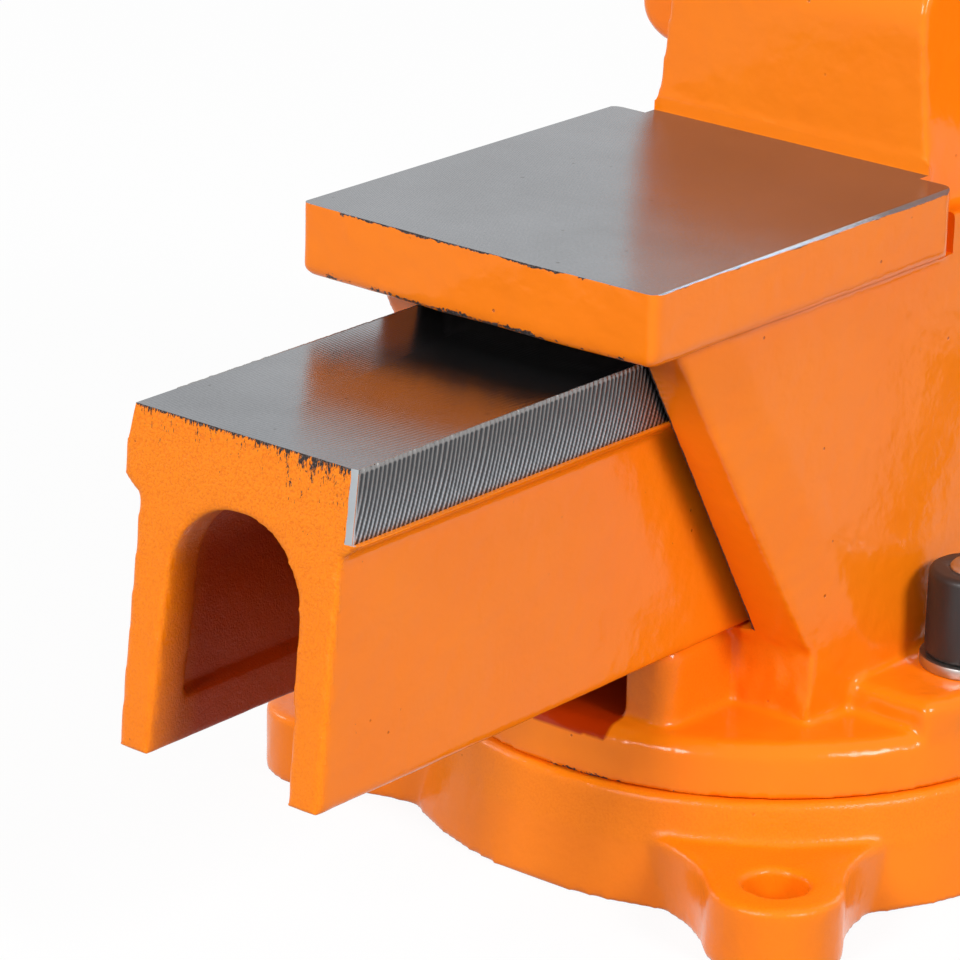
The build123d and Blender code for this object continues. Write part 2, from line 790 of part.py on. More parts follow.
for side, sign in (("left", -1), ("right", 1)):
    ball_face = bar_length / 2 + plate_chamfer - ball_bore_depth
    ball_middle = ball_face + ball_flat
    face_radius = math.sqrt(ball_radius**2 - ball_flat**2)
    with BuildPart() as bar_ball:
        with BuildSketch(Plane((0, head_middle, screw_height))):
            with BuildLine():
                ThreePointArc(
                    (sign * ball_face, face_radius),
                    (sign * ball_middle, ball_radius),
                    (sign * (ball_middle + ball_radius), 0),
                )
                Polyline(
                    (sign * (ball_middle + ball_radius), 0),
                    (sign * (ball_face + ball_bore_depth), 0),
                    (sign * (ball_face + ball_bore_depth), bar_radius + seat_gap),
                    (sign * ball_face, bar_radius + seat_gap),
                    (sign * ball_face, face_radius),
                )
            make_face()
        revolve(axis=Axis((0, head_middle, screw_height), (1, 0, 0)))
    bar_ball.part.label = f"{side}_bar_ball"
    export_step(bar_ball.part, f"parts/{side}_bar_ball.step")

# Pivot bolt and its broad washer, from below
pivot_washer_low = spigot_foot - pivot_washer_thickness
with BuildPart() as pivot_washer:
    with BuildSketch(Plane.XY.offset(pivot_washer_low)):
        Circle(pivot_washer_radius)
        Circle(pivot_thread_radius + loose_clearance, mode=Mode.SUBTRACT)
    extrude(amount=pivot_washer_thickness)
    washer_rims = pivot_washer.edges().filter_by(GeomType.CIRCLE).filter_by(
        lambda e: abs(e.radius - pivot_washer_radius) < same_place
    )
    chamfer(washer_rims, loose_clearance)
pivot_washer.part.label = "pivot_washer"
export_step(pivot_washer.part, "parts/pivot_washer.step")

with BuildPart() as pivot_bolt:
    with BuildSketch(Plane.XY.offset(pivot_washer_low - pivot_head_height)):
        RegularPolygon(pivot_head_flats / 2, 6, major_radius=False)
    extrude(amount=pivot_head_height)
    with BuildSketch(Plane.XY.offset(pivot_washer_low)):
        Circle(pivot_thread_radius)
    extrude(amount=disc_top + pivot_bolt_reach - pivot_washer_low)
    chamfer(pivot_bolt.edges().group_by(Axis.Z)[-1], plate_chamfer)
pivot_bolt.part.label = "pivot_bolt"
export_step(pivot_bolt.part, "parts/pivot_bolt.step")

# Clamp lever, pointing to the front from its own axis
with BuildPart() as clamp_lever:
    with BuildSketch():
        Circle(lever_hub_radius)
    extrude(amount=lever_hub_height)
    fillet(clamp_lever.edges().filter_by(GeomType.CIRCLE), nut_round)
    arm_start = Vector(0, 0, lever_hub_height / 2)
    arm_end = arm_start + Vector(0, -lever_reach, lever_rise)
    arm_plane = Plane(origin=arm_start, z_dir=arm_end - arm_start)
    with BuildSketch(arm_plane):
        Circle(lever_root_radius)
    with BuildSketch(arm_plane.offset((arm_end - arm_start).length)):
        Circle(lever_tip_radius)
    loft()
    with Locations(arm_end):
        Sphere(lever_ball_radius)
    with BuildSketch():
        Circle(clamp_thread_radius + running_clearance)
    extrude(amount=lever_hub_height, mode=Mode.SUBTRACT)

# Swivel clamps, one each side: T-bolt, washer and lever
for side, sign in (("left", -1), ("right", 1)):
    with BuildPart() as clamp_bolt:
        with BuildSketch(Plane.XY.offset(slot_head_roof - slide_clearance)):
            with Locations((sign * slot_radius, 0)):
                Rectangle(2 * clamp_head_half_width, 2 * clamp_head_half_width)
        extrude(amount=-clamp_head_height)
        with BuildSketch(Plane.XY.offset(slot_head_roof - slide_clearance)):
            with Locations((sign * slot_radius, 0)):
                Circle(clamp_thread_radius)
        extrude(amount=clamp_height + lever_hub_height + nut_round - slot_head_roof)
        chamfer(clamp_bolt.edges().group_by(Axis.Z)[-1], plate_chamfer)
    clamp_bolt.part.label = f"{side}_clamp_bolt"
    export_step(clamp_bolt.part, f"parts/{side}_clamp_bolt.step")
    with BuildPart() as clamp_washer:
        with BuildSketch(Plane.XY.offset(pad_top)):
            with Locations((sign * slot_radius, 0)):
                Circle(clamp_washer_radius)
                Circle(clamp_thread_radius + loose_clearance, mode=Mode.SUBTRACT)
        extrude(amount=clamp_washer_thickness)
    clamp_washer.part.label = f"{side}_clamp_washer"
    export_step(clamp_washer.part, f"parts/{side}_clamp_washer.step")
    with BuildPart() as placed_lever:
        with Locations((sign * slot_radius, 0, clamp_height)):
            add(clamp_lever.part, rotation=(0, 0, sign * lever_swing_angle))
    placed_lever.part.label = f"{side}_clamp_lever"
    export_step(placed_lever.part, f"parts/{side}_clamp_lever.step")
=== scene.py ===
"""Dresses the swivel bench vise: cast and painted iron, machined faces, hardware and a studio."""

import math

import bmesh
import bpy
import numpy as np
from bpy.props import FloatProperty, FloatVectorProperty, IntProperty, PointerProperty
from mathutils import Matrix, Vector, noise


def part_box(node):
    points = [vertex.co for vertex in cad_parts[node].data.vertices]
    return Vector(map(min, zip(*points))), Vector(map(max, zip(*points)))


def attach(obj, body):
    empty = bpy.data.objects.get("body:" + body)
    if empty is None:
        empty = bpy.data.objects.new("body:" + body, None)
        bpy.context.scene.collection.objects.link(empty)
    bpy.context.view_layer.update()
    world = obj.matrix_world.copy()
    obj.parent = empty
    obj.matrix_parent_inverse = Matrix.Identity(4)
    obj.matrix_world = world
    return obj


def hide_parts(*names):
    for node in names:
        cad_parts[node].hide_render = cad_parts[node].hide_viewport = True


bl_info = {
    "name": "Swivel bench vise",
    "version": (1, 0, 0),
    "blender": (4, 5, 0),
    "location": "View3D > Sidebar > Vise",
    "description": "Casts, paints, machines and lights a swivel bench vise",
    "category": "Add Mesh",
}

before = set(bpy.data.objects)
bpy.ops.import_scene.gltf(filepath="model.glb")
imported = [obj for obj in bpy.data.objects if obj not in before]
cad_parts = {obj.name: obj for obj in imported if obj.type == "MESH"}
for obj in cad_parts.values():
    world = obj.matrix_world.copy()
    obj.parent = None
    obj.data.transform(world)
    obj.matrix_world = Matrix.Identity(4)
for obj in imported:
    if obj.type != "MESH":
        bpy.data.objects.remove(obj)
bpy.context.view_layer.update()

MM = 0.001

# Places read from the CAD parts of model.glb, in metres
ANVIL_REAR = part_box("vise_body")[1].y
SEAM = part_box("base")[1].z
SCREW_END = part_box("lead_screw")[1].y
SLIDE_LOW, SLIDE_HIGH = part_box("moving_jaw")
COLLAR_LOW, COLLAR_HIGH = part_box("retaining_collar")
SLIDE_FOOT = SLIDE_LOW.z
SLIDE_REAR_LOW = SLIDE_HIGH.y
SCREW_HEIGHT = (COLLAR_LOW.z + COLLAR_HIGH.z) / 2

# The anvil, and the ears with which it stands out beside the jaw
ANVIL_TOP = 150 * MM
ANVIL_UNDER = ANVIL_TOP - 16 * MM
ANVIL_HALF = 46.75 * MM
ANVIL_FRONT = -5 * MM
ANVIL_CORNER = 5 * MM
ANVIL_BOW = 0.8 * MM
EAR_FRONT = -1.5 * MM
EAR_ROUND = 3.5 * MM

# The body's neck, the channel between its cheeks, and the slot between its ledges
NECK_HALF = 36.9 * MM
CHEEK_FRONT = -60 * MM
CHANNEL_REAR = 79 * MM
CHANNEL_GAP = 0.2 * MM
LEDGE_SLOT = 12.4 * MM
TABLE_RADIUS = 73.2 * MM
FOOT_RADIUS = 74.6 * MM

# The slide with its rails, its slanted rear end and its hollow
SLIDE_TOP = 127 * MM
RAIL_HEIGHT = 15 * MM
RAIL_HALF = 29.4 * MM
RAIL_SKIN = 0.4 * MM
RAIL_FLOOR = RAIL_HALF - RAIL_SKIN
RAIL_FOOT = SLIDE_TOP - RAIL_HEIGHT
SLIDE_REAR_TOP = 174.4 * MM
END_SLOPE = (SLIDE_REAR_LOW - SLIDE_REAR_TOP) / (SLIDE_TOP - SLIDE_FOOT)
CAST_LIP = 12 * MM
LIP_BULGE = 1.5 * MM
LIP_DROP = 8 * MM
CUT_EDGE = 1.6 * MM
CUT_DEPTH = 0.4 * MM
JAW_FACE = -76.4 * MM
FRONT_WALL = 20 * MM
HOLLOW_HALF = 21 * MM
HOLLOW_TOP = 115 * MM


def length(name, description, default, precision=5, **limits):
    """A setting for a length in metres."""
    return FloatProperty(
        name=name, description=description, default=default, precision=precision, unit="LENGTH", **limits
    )


def paint_or_metal(name, description, default):
    """A setting for a colour."""
    return FloatVectorProperty(name=name, description=description, default=default, subtype="COLOR")


def lamp_power(name, description, default):
    """A setting for a lamp's power in watts."""
    return FloatProperty(name=name, description=description, default=default, unit="POWER")


class CastingSizes(bpy.types.PropertyGroup):
    """Sizes of the cast skin that covers the three iron castings."""

    skin_cell: length(
        "Skin cell", "Edge length of the cells that a casting's skin is made of", 0.85 * MM, min=0.4 * MM
    )
    rounding_passes: IntProperty(
        name="Rounding passes",
        description="How often the skin is smoothed, which rounds the pattern's corners",
        default=4,
        min=0,
    )
    machining_allowance: length(
        "Machining allowance", "Extra iron cast on a face before it is milled flat", 2.0 * MM
    )
    swell: length("Swell", "Height of the long waves in a cast face", 0.16 * MM, 6)
    swell_spacing: length("Swell spacing", "Length of those waves", 13 * MM)
    ripple: length("Ripple", "Height of the short waves in thick paint", 0.08 * MM, 6)
    ripple_spacing: length("Ripple spacing", "Length of those short waves", 3.5 * MM)
    kept_faces: FloatProperty(
        name="Kept faces",
        description="Share of the skin's faces that is kept",
        default=0.4,
        min=0.05,
        max=1.0,
        subtype="FACTOR",
    )


class Finishes(bpy.types.PropertyGroup):
    """Colours of the paint and the metals."""

    enamel: paint_or_metal("Enamel", "Orange enamel on the castings", (0.93, 0.212, 0.004))
    # chipped_iron also draws the machined ways, where its near-black is partly painted shade.
    chipped_iron: paint_or_metal(
        "Chipped iron", "Dark iron that shows where paint has chipped off", (0.03, 0.022, 0.02)
    )
    ground_iron: paint_or_metal(
        "Ground iron", "Face-milled and ground iron of anvil and slide", (0.21, 0.22, 0.236)
    )
    turned_steel: paint_or_metal("Turned steel", "Lead screw and collar", (0.42, 0.43, 0.45))
    zinc: paint_or_metal("Zinc", "Plated bolts and washers", (0.50, 0.51, 0.50))


class StudioLevels(bpy.types.PropertyGroup):
    """Levels of the studio's lamps."""

    sky_level: FloatProperty(name="Sky level", description="Even light from all round", default=0.32)
    rear_power: lamp_power(
        "Rear power", "Power of the softbox behind the vise, to the camera's left", 22.0
    )
    side_power: lamp_power(
        "Side power", "Power of the softbox beside the vise, to the camera's right", 21.0
    )
    front_power: lamp_power(
        "Front power", "Power of each softbox before and right of the vise, for views from there", 9.0
    )


def new_node(tree, kind, settings=None, **sockets):
    """Adds a node. Each named input socket gets a value, or a link if it is given a socket."""
    made = tree.nodes.new(kind)
    for name, value in (settings or {}).items():
        setattr(made, name, value)
    for name, value in sockets.items():
        plug_in(tree, made.inputs[name.replace("_", " ")], value)
    return made


def plug_in(tree, socket, value):
    """Links a socket to another, or sets its own value."""
    if isinstance(value, bpy.types.NodeSocket):
        tree.links.new(value, socket)
    else:
        socket.default_value = value


def sum_node(tree, operation, *values, kind="ShaderNodeMath"):
    """Math node over one to three values, clamped nowhere."""
    made = tree.nodes.new(kind)
    made.operation = operation
    for socket, value in zip(made.inputs, values):
        plug_in(tree, socket, value)
    return made.outputs[0]


def vector_node(tree, operation, *values):
    """The same for vectors."""
    return sum_node(tree, operation, *values, kind="ShaderNodeVectorMath")


def ramp_node(tree, value, low, high):
    """Smooth step from 0 at low to 1 at high."""
    made = new_node(
        tree,
        "ShaderNodeMapRange",
        {"interpolation_type": "SMOOTHSTEP"},
        Value=value,
        From_Min=low,
        From_Max=high,
    )
    return made.outputs[0]


def blend_node(tree, share, first, second):
    """Mixes two colours, for which the node has its inputs 6 and 7 and its output 2."""
    made = tree.nodes.new("ShaderNodeMix")
    made.data_type = "RGBA"
    for place, value in ((0, share), (6, first), (7, second)):
        plug_in(tree, made.inputs[place], value)
    return made.outputs[2]


def tinted(colour, *factors):
    """A colour with red, green and blue each times its own factor, or all times one."""
    factors = factors * 3 if len(factors) == 1 else factors
    return tuple(min(1.0, c * f) for c, f in zip(colour, factors)) + (1.0,)


def noise_node(tree, position, per_mm, detail=2.0, roughness=0.5, distortion=0.0):
    """Noise with so many cells in a millimetre. Position is in millimetres."""
    made = new_node(
        tree,
        "ShaderNodeTexNoise",
        Vector=position,
        Scale=per_mm,
        Detail=detail,
        Roughness=roughness,
        Distortion=distortion,
    )
    return made.outputs["Fac"]


def new_group(name, inputs, outputs):
    """A shader node group with its sockets: name to default value. Returns tree, inputs, output node."""
    tree = bpy.data.node_groups.new(name, "ShaderNodeTree")
    kinds = {float: "NodeSocketFloat", Vector: "NodeSocketVector"}
    for label, value in inputs.items():
        socket = tree.interface.new_socket(label, in_out="INPUT", socket_type=kinds[type(value)])
        socket.default_value = value
    for label, value in outputs.items():
        tree.interface.new_socket(label, in_out="OUTPUT", socket_type=kinds[type(value)])
    return tree, tree.nodes.new("NodeGroupInput").outputs, tree.nodes.new("NodeGroupOutput")


def put_out(tree, out, **results):
    """Links a group's results to its output sockets."""
    for name, socket in results.items():
        tree.links.new(socket, out.inputs[name])


def use_group(tree, group, **sockets):
    """Places a node group in a material."""
    made = tree.nodes.new("ShaderNodeGroup")
    made.node_tree = group
    for name, value in sockets.items():
        plug_in(tree, made.inputs[name.replace("_", " ")], value)
    return made.outputs


def chipped_edge_group():
    """Where paint is knocked off: near an edge, in ragged flecks."""
    tree, given, out = new_group(
        "Chipped Edge",
        {"Position": Vector((0, 0, 0)), "Nearness": 0.0, "Amount": 0.5, "Fleck": 1.0, "Scatter": 1.1},
        {"Bare": 0.0, "Rim": 0.0},
    )
    coarse = noise_node(tree, given["Position"], sum_node(tree, "DIVIDE", 0.22, given["Fleck"]), 2.0)
    fine = noise_node(tree, given["Position"], sum_node(tree, "DIVIDE", 1.1, given["Fleck"]), 3.0, 0.62)
    uneven = sum_node(tree, "MULTIPLY_ADD", coarse, 1.5, -0.75)
    ragged = sum_node(tree, "MULTIPLY", sum_node(tree, "SUBTRACT", fine, 0.5), given["Scatter"])
    share = sum_node(tree, "ADD", given["Nearness"], sum_node(tree, "ADD", uneven, ragged))
    level = sum_node(tree, "SUBTRACT", share, sum_node(tree, "SUBTRACT", 1.35, given["Amount"]))
    put_out(tree, out, Bare=ramp_node(tree, level, 0.0, 0.06), Rim=ramp_node(tree, level, -0.12, 0.02))
    return tree


def cast_skin_group():
    """Height of a cast and painted skin: orange peel, sand and a few pits."""
    tree, given, out = new_group(
        "Cast Skin",
        {"Position": Vector((0, 0, 0)), "Sand": 0.0},
        {"Height": 0.0, "Pits": 0.0, "Grain": 0.0},
    )
    peel = noise_node(tree, given["Position"], 0.55, 2.0, 0.45)
    lumps = noise_node(tree, given["Position"], 0.16, 2.0, 0.5, 0.3)
    sand = noise_node(tree, given["Position"], 1.8, 3.0, 0.6)
    pit = new_node(tree, "ShaderNodeTexVoronoi", Vector=given["Position"], Scale=0.16)
    patch = noise_node(tree, given["Position"], 0.045, 1.0)
    hole = ramp_node(tree, pit.outputs["Distance"], 0.075, 0.03)
    hole = sum_node(tree, "MULTIPLY", hole, ramp_node(tree, patch, 0.58, 0.66))
    soft = sum_node(tree, "MULTIPLY_ADD", lumps, 1.3, sum_node(tree, "MULTIPLY", peel, 0.35))
    rough = sum_node(tree, "MULTIPLY_ADD", sum_node(tree, "MULTIPLY", sand, given["Sand"]), 1.7, soft)
    put_out(tree, out, Height=sum_node(tree, "SUBTRACT", rough, hole), Pits=hole, Grain=sand)
    return tree


def tool_mark_group():
    """Arcs or lines that a cutter leaves: ridges of one pitch, slightly uneven."""
    tree, given, out = new_group(
        "Tool Marks",
        {"Position": Vector((0, 0, 0)), "Pitch": 1.0, "Sweep": 60.0, "Wander": 0.2},
        {"Height": 0.0, "Stain": 0.0},
    )
    parts = new_node(tree, "ShaderNodeSeparateXYZ", Vector=given["Position"]).outputs
    wide = sum_node(tree, "MULTIPLY", parts["X"], parts["X"])
    reach = sum_node(tree, "SUBTRACT", sum_node(tree, "MULTIPLY", given["Sweep"], given["Sweep"]), wide)
    arc = sum_node(tree, "SQRT", sum_node(tree, "MAXIMUM", reach, 0.0))
    along = sum_node(tree, "SUBTRACT", parts["Y"], arc)
    drift = sum_node(tree, "MULTIPLY", noise_node(tree, given["Position"], 0.12, 2.0), given["Wander"])
    phase = sum_node(tree, "DIVIDE", sum_node(tree, "ADD", along, drift), given["Pitch"])
    ridge = sum_node(tree, "SINE", sum_node(tree, "MULTIPLY", phase, 2 * math.pi))
    drawn = vector_node(tree, "MULTIPLY", given["Position"], (0.5, 9.0, 9.0))
    scratch = noise_node(tree, drawn, 0.5, 3.0, 0.6)
    height = sum_node(tree, "MULTIPLY_ADD", scratch, 0.6, sum_node(tree, "MULTIPLY", ridge, 0.5))
    put_out(tree, out, Height=height, Stain=noise_node(tree, given["Position"], 0.035, 4.0, 0.6))
    return tree


def handled_metal_group():
    """Smudges and fine scratches of metal that is handled."""
    tree, given, out = new_group(
        "Handled Metal",
        {"Position": Vector((0, 0, 0)), "Grain": Vector((1, 1, 1))},
        {"Smudge": 0.0, "Height": 0.0},
    )
    smudge = noise_node(tree, given["Position"], 0.09, 4.0, 0.62)
    fine = noise_node(tree, vector_node(tree, "MULTIPLY", given["Position"], given["Grain"]), 1.0, 3.0, 0.6)
    put_out(tree, out, Smudge=smudge, Height=fine)
    return tree


groups = {}


def shared_group(name):
    """The shared node groups, each built once."""
    makers = {
        "chips": chipped_edge_group,
        "skin": cast_skin_group,
        "marks": tool_mark_group,
        "metal": handled_metal_group,
    }
    if name not in groups:
        groups[name] = makers[name]()
    return groups[name]


def cleared_tree(owner):
    """The node tree of a new material or world, with nothing in it."""
    owner.use_nodes = True
    owner.node_tree.nodes.clear()
    return owner.node_tree


def new_material(name):
    """A material with its tree, its shader and positions in millimetres."""
    made = bpy.data.materials.new(name)
    tree = cleared_tree(made)
    shader = tree.nodes.new("ShaderNodeBsdfPrincipled")
    out = tree.nodes.new("ShaderNodeOutputMaterial")
    tree.links.new(shader.outputs[0], out.inputs["Surface"])
    place = tree.nodes.new("ShaderNodeTexCoord").outputs["Object"]
    position = vector_node(tree, "MULTIPLY", place, (1000.0, 1000.0, 1000.0))
    return made, tree, shader, position


def attribute(tree, name):
    """Value that a mesh keeps on its points."""
    return new_node(tree, "ShaderNodeAttribute", {"attribute_name": name}).outputs["Fac"]


def fill_shader(tree, shader, colour, roughness, metallic, height, depth):
    """Gives a shader its colour, finish and relief. depth is how far a height of 1 stands out."""
    plug_in(tree, shader.inputs["Base Color"], colour)
    plug_in(tree, shader.inputs["Roughness"], roughness)
    shader.inputs["Metallic"].default_value = metallic
    bump = new_node(tree, "ShaderNodeBump", Strength=1.0, Distance=depth, Height=height)
    tree.links.new(bump.outputs[0], shader.inputs["Normal"])


def enamel_material(name, colour, chip_amount, fleck=1.0, streak=(1, 1, 1), scatter=1.1):
    """Thick gloss enamel over rough cast iron, chipped along the edges, with shade painted into its
    recesses and pits.

    streak squeezes the chips' pattern along an axis, so that they run as streaks there.
    """
    iron = bpy.context.scene.vise_finishes.chipped_iron
    made, tree, shader, position = new_material(name)
    sand = attribute(tree, "sand")
    skin = use_group(tree, shared_group("skin"), Position=position, Sand=sand)
    chips = use_group(
        tree,
        shared_group("chips"),
        Position=vector_node(tree, "MULTIPLY", position, streak),
        Nearness=attribute(tree, "edge"),
        Amount=chip_amount,
        Fleck=fleck,
        Scatter=scatter,
    )
    tone = noise_node(tree, position, 0.02, 3.0, 0.6)
    paint = blend_node(tree, tone, tinted(colour, 0.97, 0.84, 0.7), tinted(colour, 1.02, 1.1, 1.3))
    dry = tinted(colour, 1.03, 1.3, 1.6)
    shadowed = tinted(colour, 0.8, 0.69, 0.7)
    sandy = blend_node(tree, ramp_node(tree, skin["Grain"], 0.28, 0.62), shadowed, dry)
    paint = blend_node(tree, sum_node(tree, "MULTIPLY", sand, 0.6), paint, sandy)
    # Painted shade: where the mesh's stored shade value is high (the slot between the body's ledges, the
    # slide's hollow), the paint turns dark red-brown as if little light reached it.
    painted_shade_colour = tinted(colour, 0.45, 0.13, 0.1)
    paint = blend_node(tree, attribute(tree, "painted_shade"), paint, painted_shade_colour)
    # Painted shade: the cast skin's pits are darkened, as if shade lay in them.
    painted_pit_shade = tinted(colour, 0.3, 0.2, 0.5)
    paint = blend_node(tree, sum_node(tree, "MULTIPLY", skin["Pits"], 0.7), paint, painted_pit_shade)
    glint = ramp_node(tree, noise_node(tree, position, 2.6, 2.0), 0.5, 0.66)
    bare = blend_node(tree, glint, tinted(iron, 1), tinted(iron, 5))
    worn = blend_node(tree, sum_node(tree, "MULTIPLY", chips["Rim"], 0.35), paint, shadowed)
    paint = blend_node(tree, chips["Bare"], worn, bare)
    gloss = sum_node(tree, "MULTIPLY_ADD", sand, 0.3, 0.16)
    rough = sum_node(tree, "MULTIPLY_ADD", chips["Bare"], 0.35, gloss)
    shader.inputs["Specular IOR Level"].default_value = 0.24
    height = sum_node(tree, "SUBTRACT", skin["Height"], sum_node(tree, "MULTIPLY", chips["Bare"], 0.8))
    fill_shader(tree, shader, paint, rough, 0.0, height, 0.16 * MM)
    return made


def milled_material(name, pitch, sweep, depth, metallic):
    """Face-milled grey iron with the cutter's marks."""
    grey = bpy.context.scene.vise_finishes.ground_iron
    made, tree, shader, position = new_material(name)
    marks = use_group(tree, shared_group("marks"), Position=position, Pitch=pitch, Sweep=sweep, Wander=0.35)
    metal = use_group(tree, shared_group("metal"), Position=position, Grain=(0.4, 0.4, 0.4))
    grain = sum_node(tree, "SUBTRACT", noise_node(tree, position, 1.7, 3.0, 0.65), 0.5)
    mottle = sum_node(tree, "MULTIPLY_ADD", grain, 1.3, marks["Stain"])
    colour = blend_node(tree, mottle, tinted(grey, 0.72), tinted(grey, 1.24))
    speck = new_node(tree, "ShaderNodeTexVoronoi", Vector=position, Scale=0.12)
    spot = ramp_node(tree, speck.outputs["Distance"], 0.07, 0.03)
    colour = blend_node(tree, sum_node(tree, "MULTIPLY", spot, 0.6), colour, (0.03, 0.025, 0.02, 1.0))
    rough = sum_node(tree, "MULTIPLY_ADD", metal["Smudge"], 0.1, 0.13)
    fill_shader(tree, shader, colour, rough, metallic, marks["Height"], depth)
    return made


def ridged_material():
    """Deeply ridged rail face, with painted shade in the grooves and painted highlights on the crests and
    along its burr.
    """
    grey = bpy.context.scene.vise_finishes.ground_iron
    made, tree, shader, position = new_material("ridged rail")
    crest = attribute(tree, "crest")
    scratch = noise_node(tree, vector_node(tree, "MULTIPLY", position, (1.0, 5.0, 0.6)), 1.0, 3.0, 0.6)
    level = sum_node(tree, "MULTIPLY_ADD", scratch, 0.5, sum_node(tree, "SUBTRACT", crest, 0.25))
    lower = ramp_node(tree, attribute(tree, "low"), 0.15, 0.95)
    # Painted highlight on the crests, brighter towards the rail's foot, and painted shade in the grooves.
    painted_crest_highlight = blend_node(tree, lower, tinted(grey, 1.35, 1.25, 1.15), tinted(grey, 2.7))
    colour = blend_node(tree, ramp_node(tree, level, 0.1, 0.9), tinted(grey, 0.28), painted_crest_highlight)
    fill_shader(tree, shader, colour, 0.34, 1.0, scratch, 0.05 * MM)
    return made


def metal_material(
    name, colour, roughness, smudge=0.12, grain=(1.0, 1.0, 1.0), depth=0.02 * MM, metallic=1.0, pale=1.1
):
    """Turned, plated or hardened metal. smudge is how much rougher it is where it was touched."""
    made, tree, shader, position = new_material(name)
    metal = use_group(tree, shared_group("metal"), Position=position, Grain=grain)
    colour = blend_node(tree, metal["Smudge"], tinted(colour, 0.8), tinted(colour, pale))
    rough = sum_node(tree, "MULTIPLY_ADD", metal["Smudge"], smudge, roughness)
    fill_shader(tree, shader, colour, rough, metallic, metal["Height"], depth)
    return made


def moulded_material(name, colour, roughness):
    """Moulded plastic or smooth enamel."""
    return metal_material(name, colour, roughness, 0.15, (0.7, 0.7, 0.7), 0.04 * MM, 0.0, 1.25)


def shown(name, data):
    """A new object in the scene."""
    made = bpy.data.objects.new(name, data)
    bpy.context.scene.collection.objects.link(made)
    return made


def finished_mesh(work, made):
    """Writes what is built in bmesh to a mesh, with all faces turned outwards."""
    bmesh.ops.recalc_face_normals(work, faces=work.faces)
    work.to_mesh(made)
    work.free()
    return made


def slab_mesh(front, back, rows, columns):
    """A closed slab between two grids of points."""
    grid = np.arange(rows * columns).reshape(rows, columns)
    quads = np.stack((grid[:-1, :-1], grid[:-1, 1:], grid[1:, 1:], grid[1:, :-1]), -1).reshape(-1, 4)
    rim = np.concatenate((grid[0, :-1], grid[:-1, -1], grid[-1, :0:-1], grid[:0:-1, 0]))
    after = np.roll(rim, -1)
    beyond = rows * columns
    sides = np.stack((after, rim, rim + beyond, after + beyond), -1)
    faces = np.concatenate((quads, quads[:, ::-1] + beyond, sides))
    made = bpy.data.meshes.new("slab")
    made.from_pydata(np.concatenate((front, back)).tolist(), [], faces.tolist())
    work = bmesh.new()
    work.from_mesh(made)
    return finished_mesh(work, made)


def cad_copy(node):
    """A welded copy of a CAD node's mesh, with no material."""
    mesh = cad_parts[node].data.copy()
    mesh.materials.clear()
    work = bmesh.new()
    work.from_mesh(mesh)
    bmesh.ops.remove_doubles(work, verts=work.verts, dist=0.001 * MM)
    work.to_mesh(mesh)
    work.free()
    return mesh


def rows_of(items, name):
    """A value of three numbers of each of a mesh's items, as an array."""
    flat = np.empty(len(items) * 3, np.float32)
    items.foreach_get(name, flat)
    return flat.reshape(-1, 3).astype(np.float64)


def points_of(mesh):
    """Places of a mesh's points as an array."""
    return rows_of(mesh.vertices, "co")


def set_points(mesh, points):
    """Writes an array of places back to a mesh."""
    mesh.vertices.foreach_set("co", points.astype(np.float32).ravel())
    mesh.update()


def with_modifier(mesh, kind, **settings):
    """The mesh that a modifier makes from another."""
    holder = shown("work", mesh)
    modifier = holder.modifiers.new("step", kind)
    for name, value in settings.items():
        setattr(modifier, name, value)
    result = bpy.data.meshes.new_from_object(holder.evaluated_get(bpy.context.evaluated_depsgraph_get()))
    bpy.data.objects.remove(holder)
    return result


def smoothed(mesh, points, passes, strength=0.6):
    """Points moved part of the way to the middle of their neighbours, in several passes."""
    edges = np.empty(len(mesh.edges) * 2, np.int32)
    mesh.edges.foreach_get("vertices", edges)
    first, second = edges.reshape(-1, 2).T
    count = np.bincount(first, minlength=len(points)) + np.bincount(second, minlength=len(points))
    for _ in range(passes):
        middle = np.empty_like(points)
        for axis in range(3):
            around = np.bincount(first, points[second, axis], len(points))
            around += np.bincount(second, points[first, axis], len(points))
            middle[:, axis] = around / np.maximum(count, 1)
        points = points + (middle - points) * strength
    return points


def box_mesh(low, high):
    """A closed box between two corners."""
    work = bmesh.new()
    bmesh.ops.create_cube(work, size=1.0)
    low, high = Vector(low), Vector(high)
    for v in work.verts:
        v.co = (low + high) / 2 + v.co * (high - low)
    return finished_mesh(work, bpy.data.meshes.new("box"))


def wedge_mesh(points):
    """The closed convex shape round some points."""
    work = bmesh.new()
    for p in points:
        work.verts.new(p)
    bmesh.ops.convex_hull(work, input=work.verts)
    return finished_mesh(work, bpy.data.meshes.new("wedge"))


def milled_away(mesh, cuts):
    """The mesh less the shapes that a cutter sweeps."""
    for cut in cuts:
        cutter = shown("cutter", cut)
        mesh = with_modifier(mesh, "BOOLEAN", object=cutter, operation="DIFFERENCE", solver="MANIFOLD")
        bpy.data.objects.remove(cutter)
    return mesh


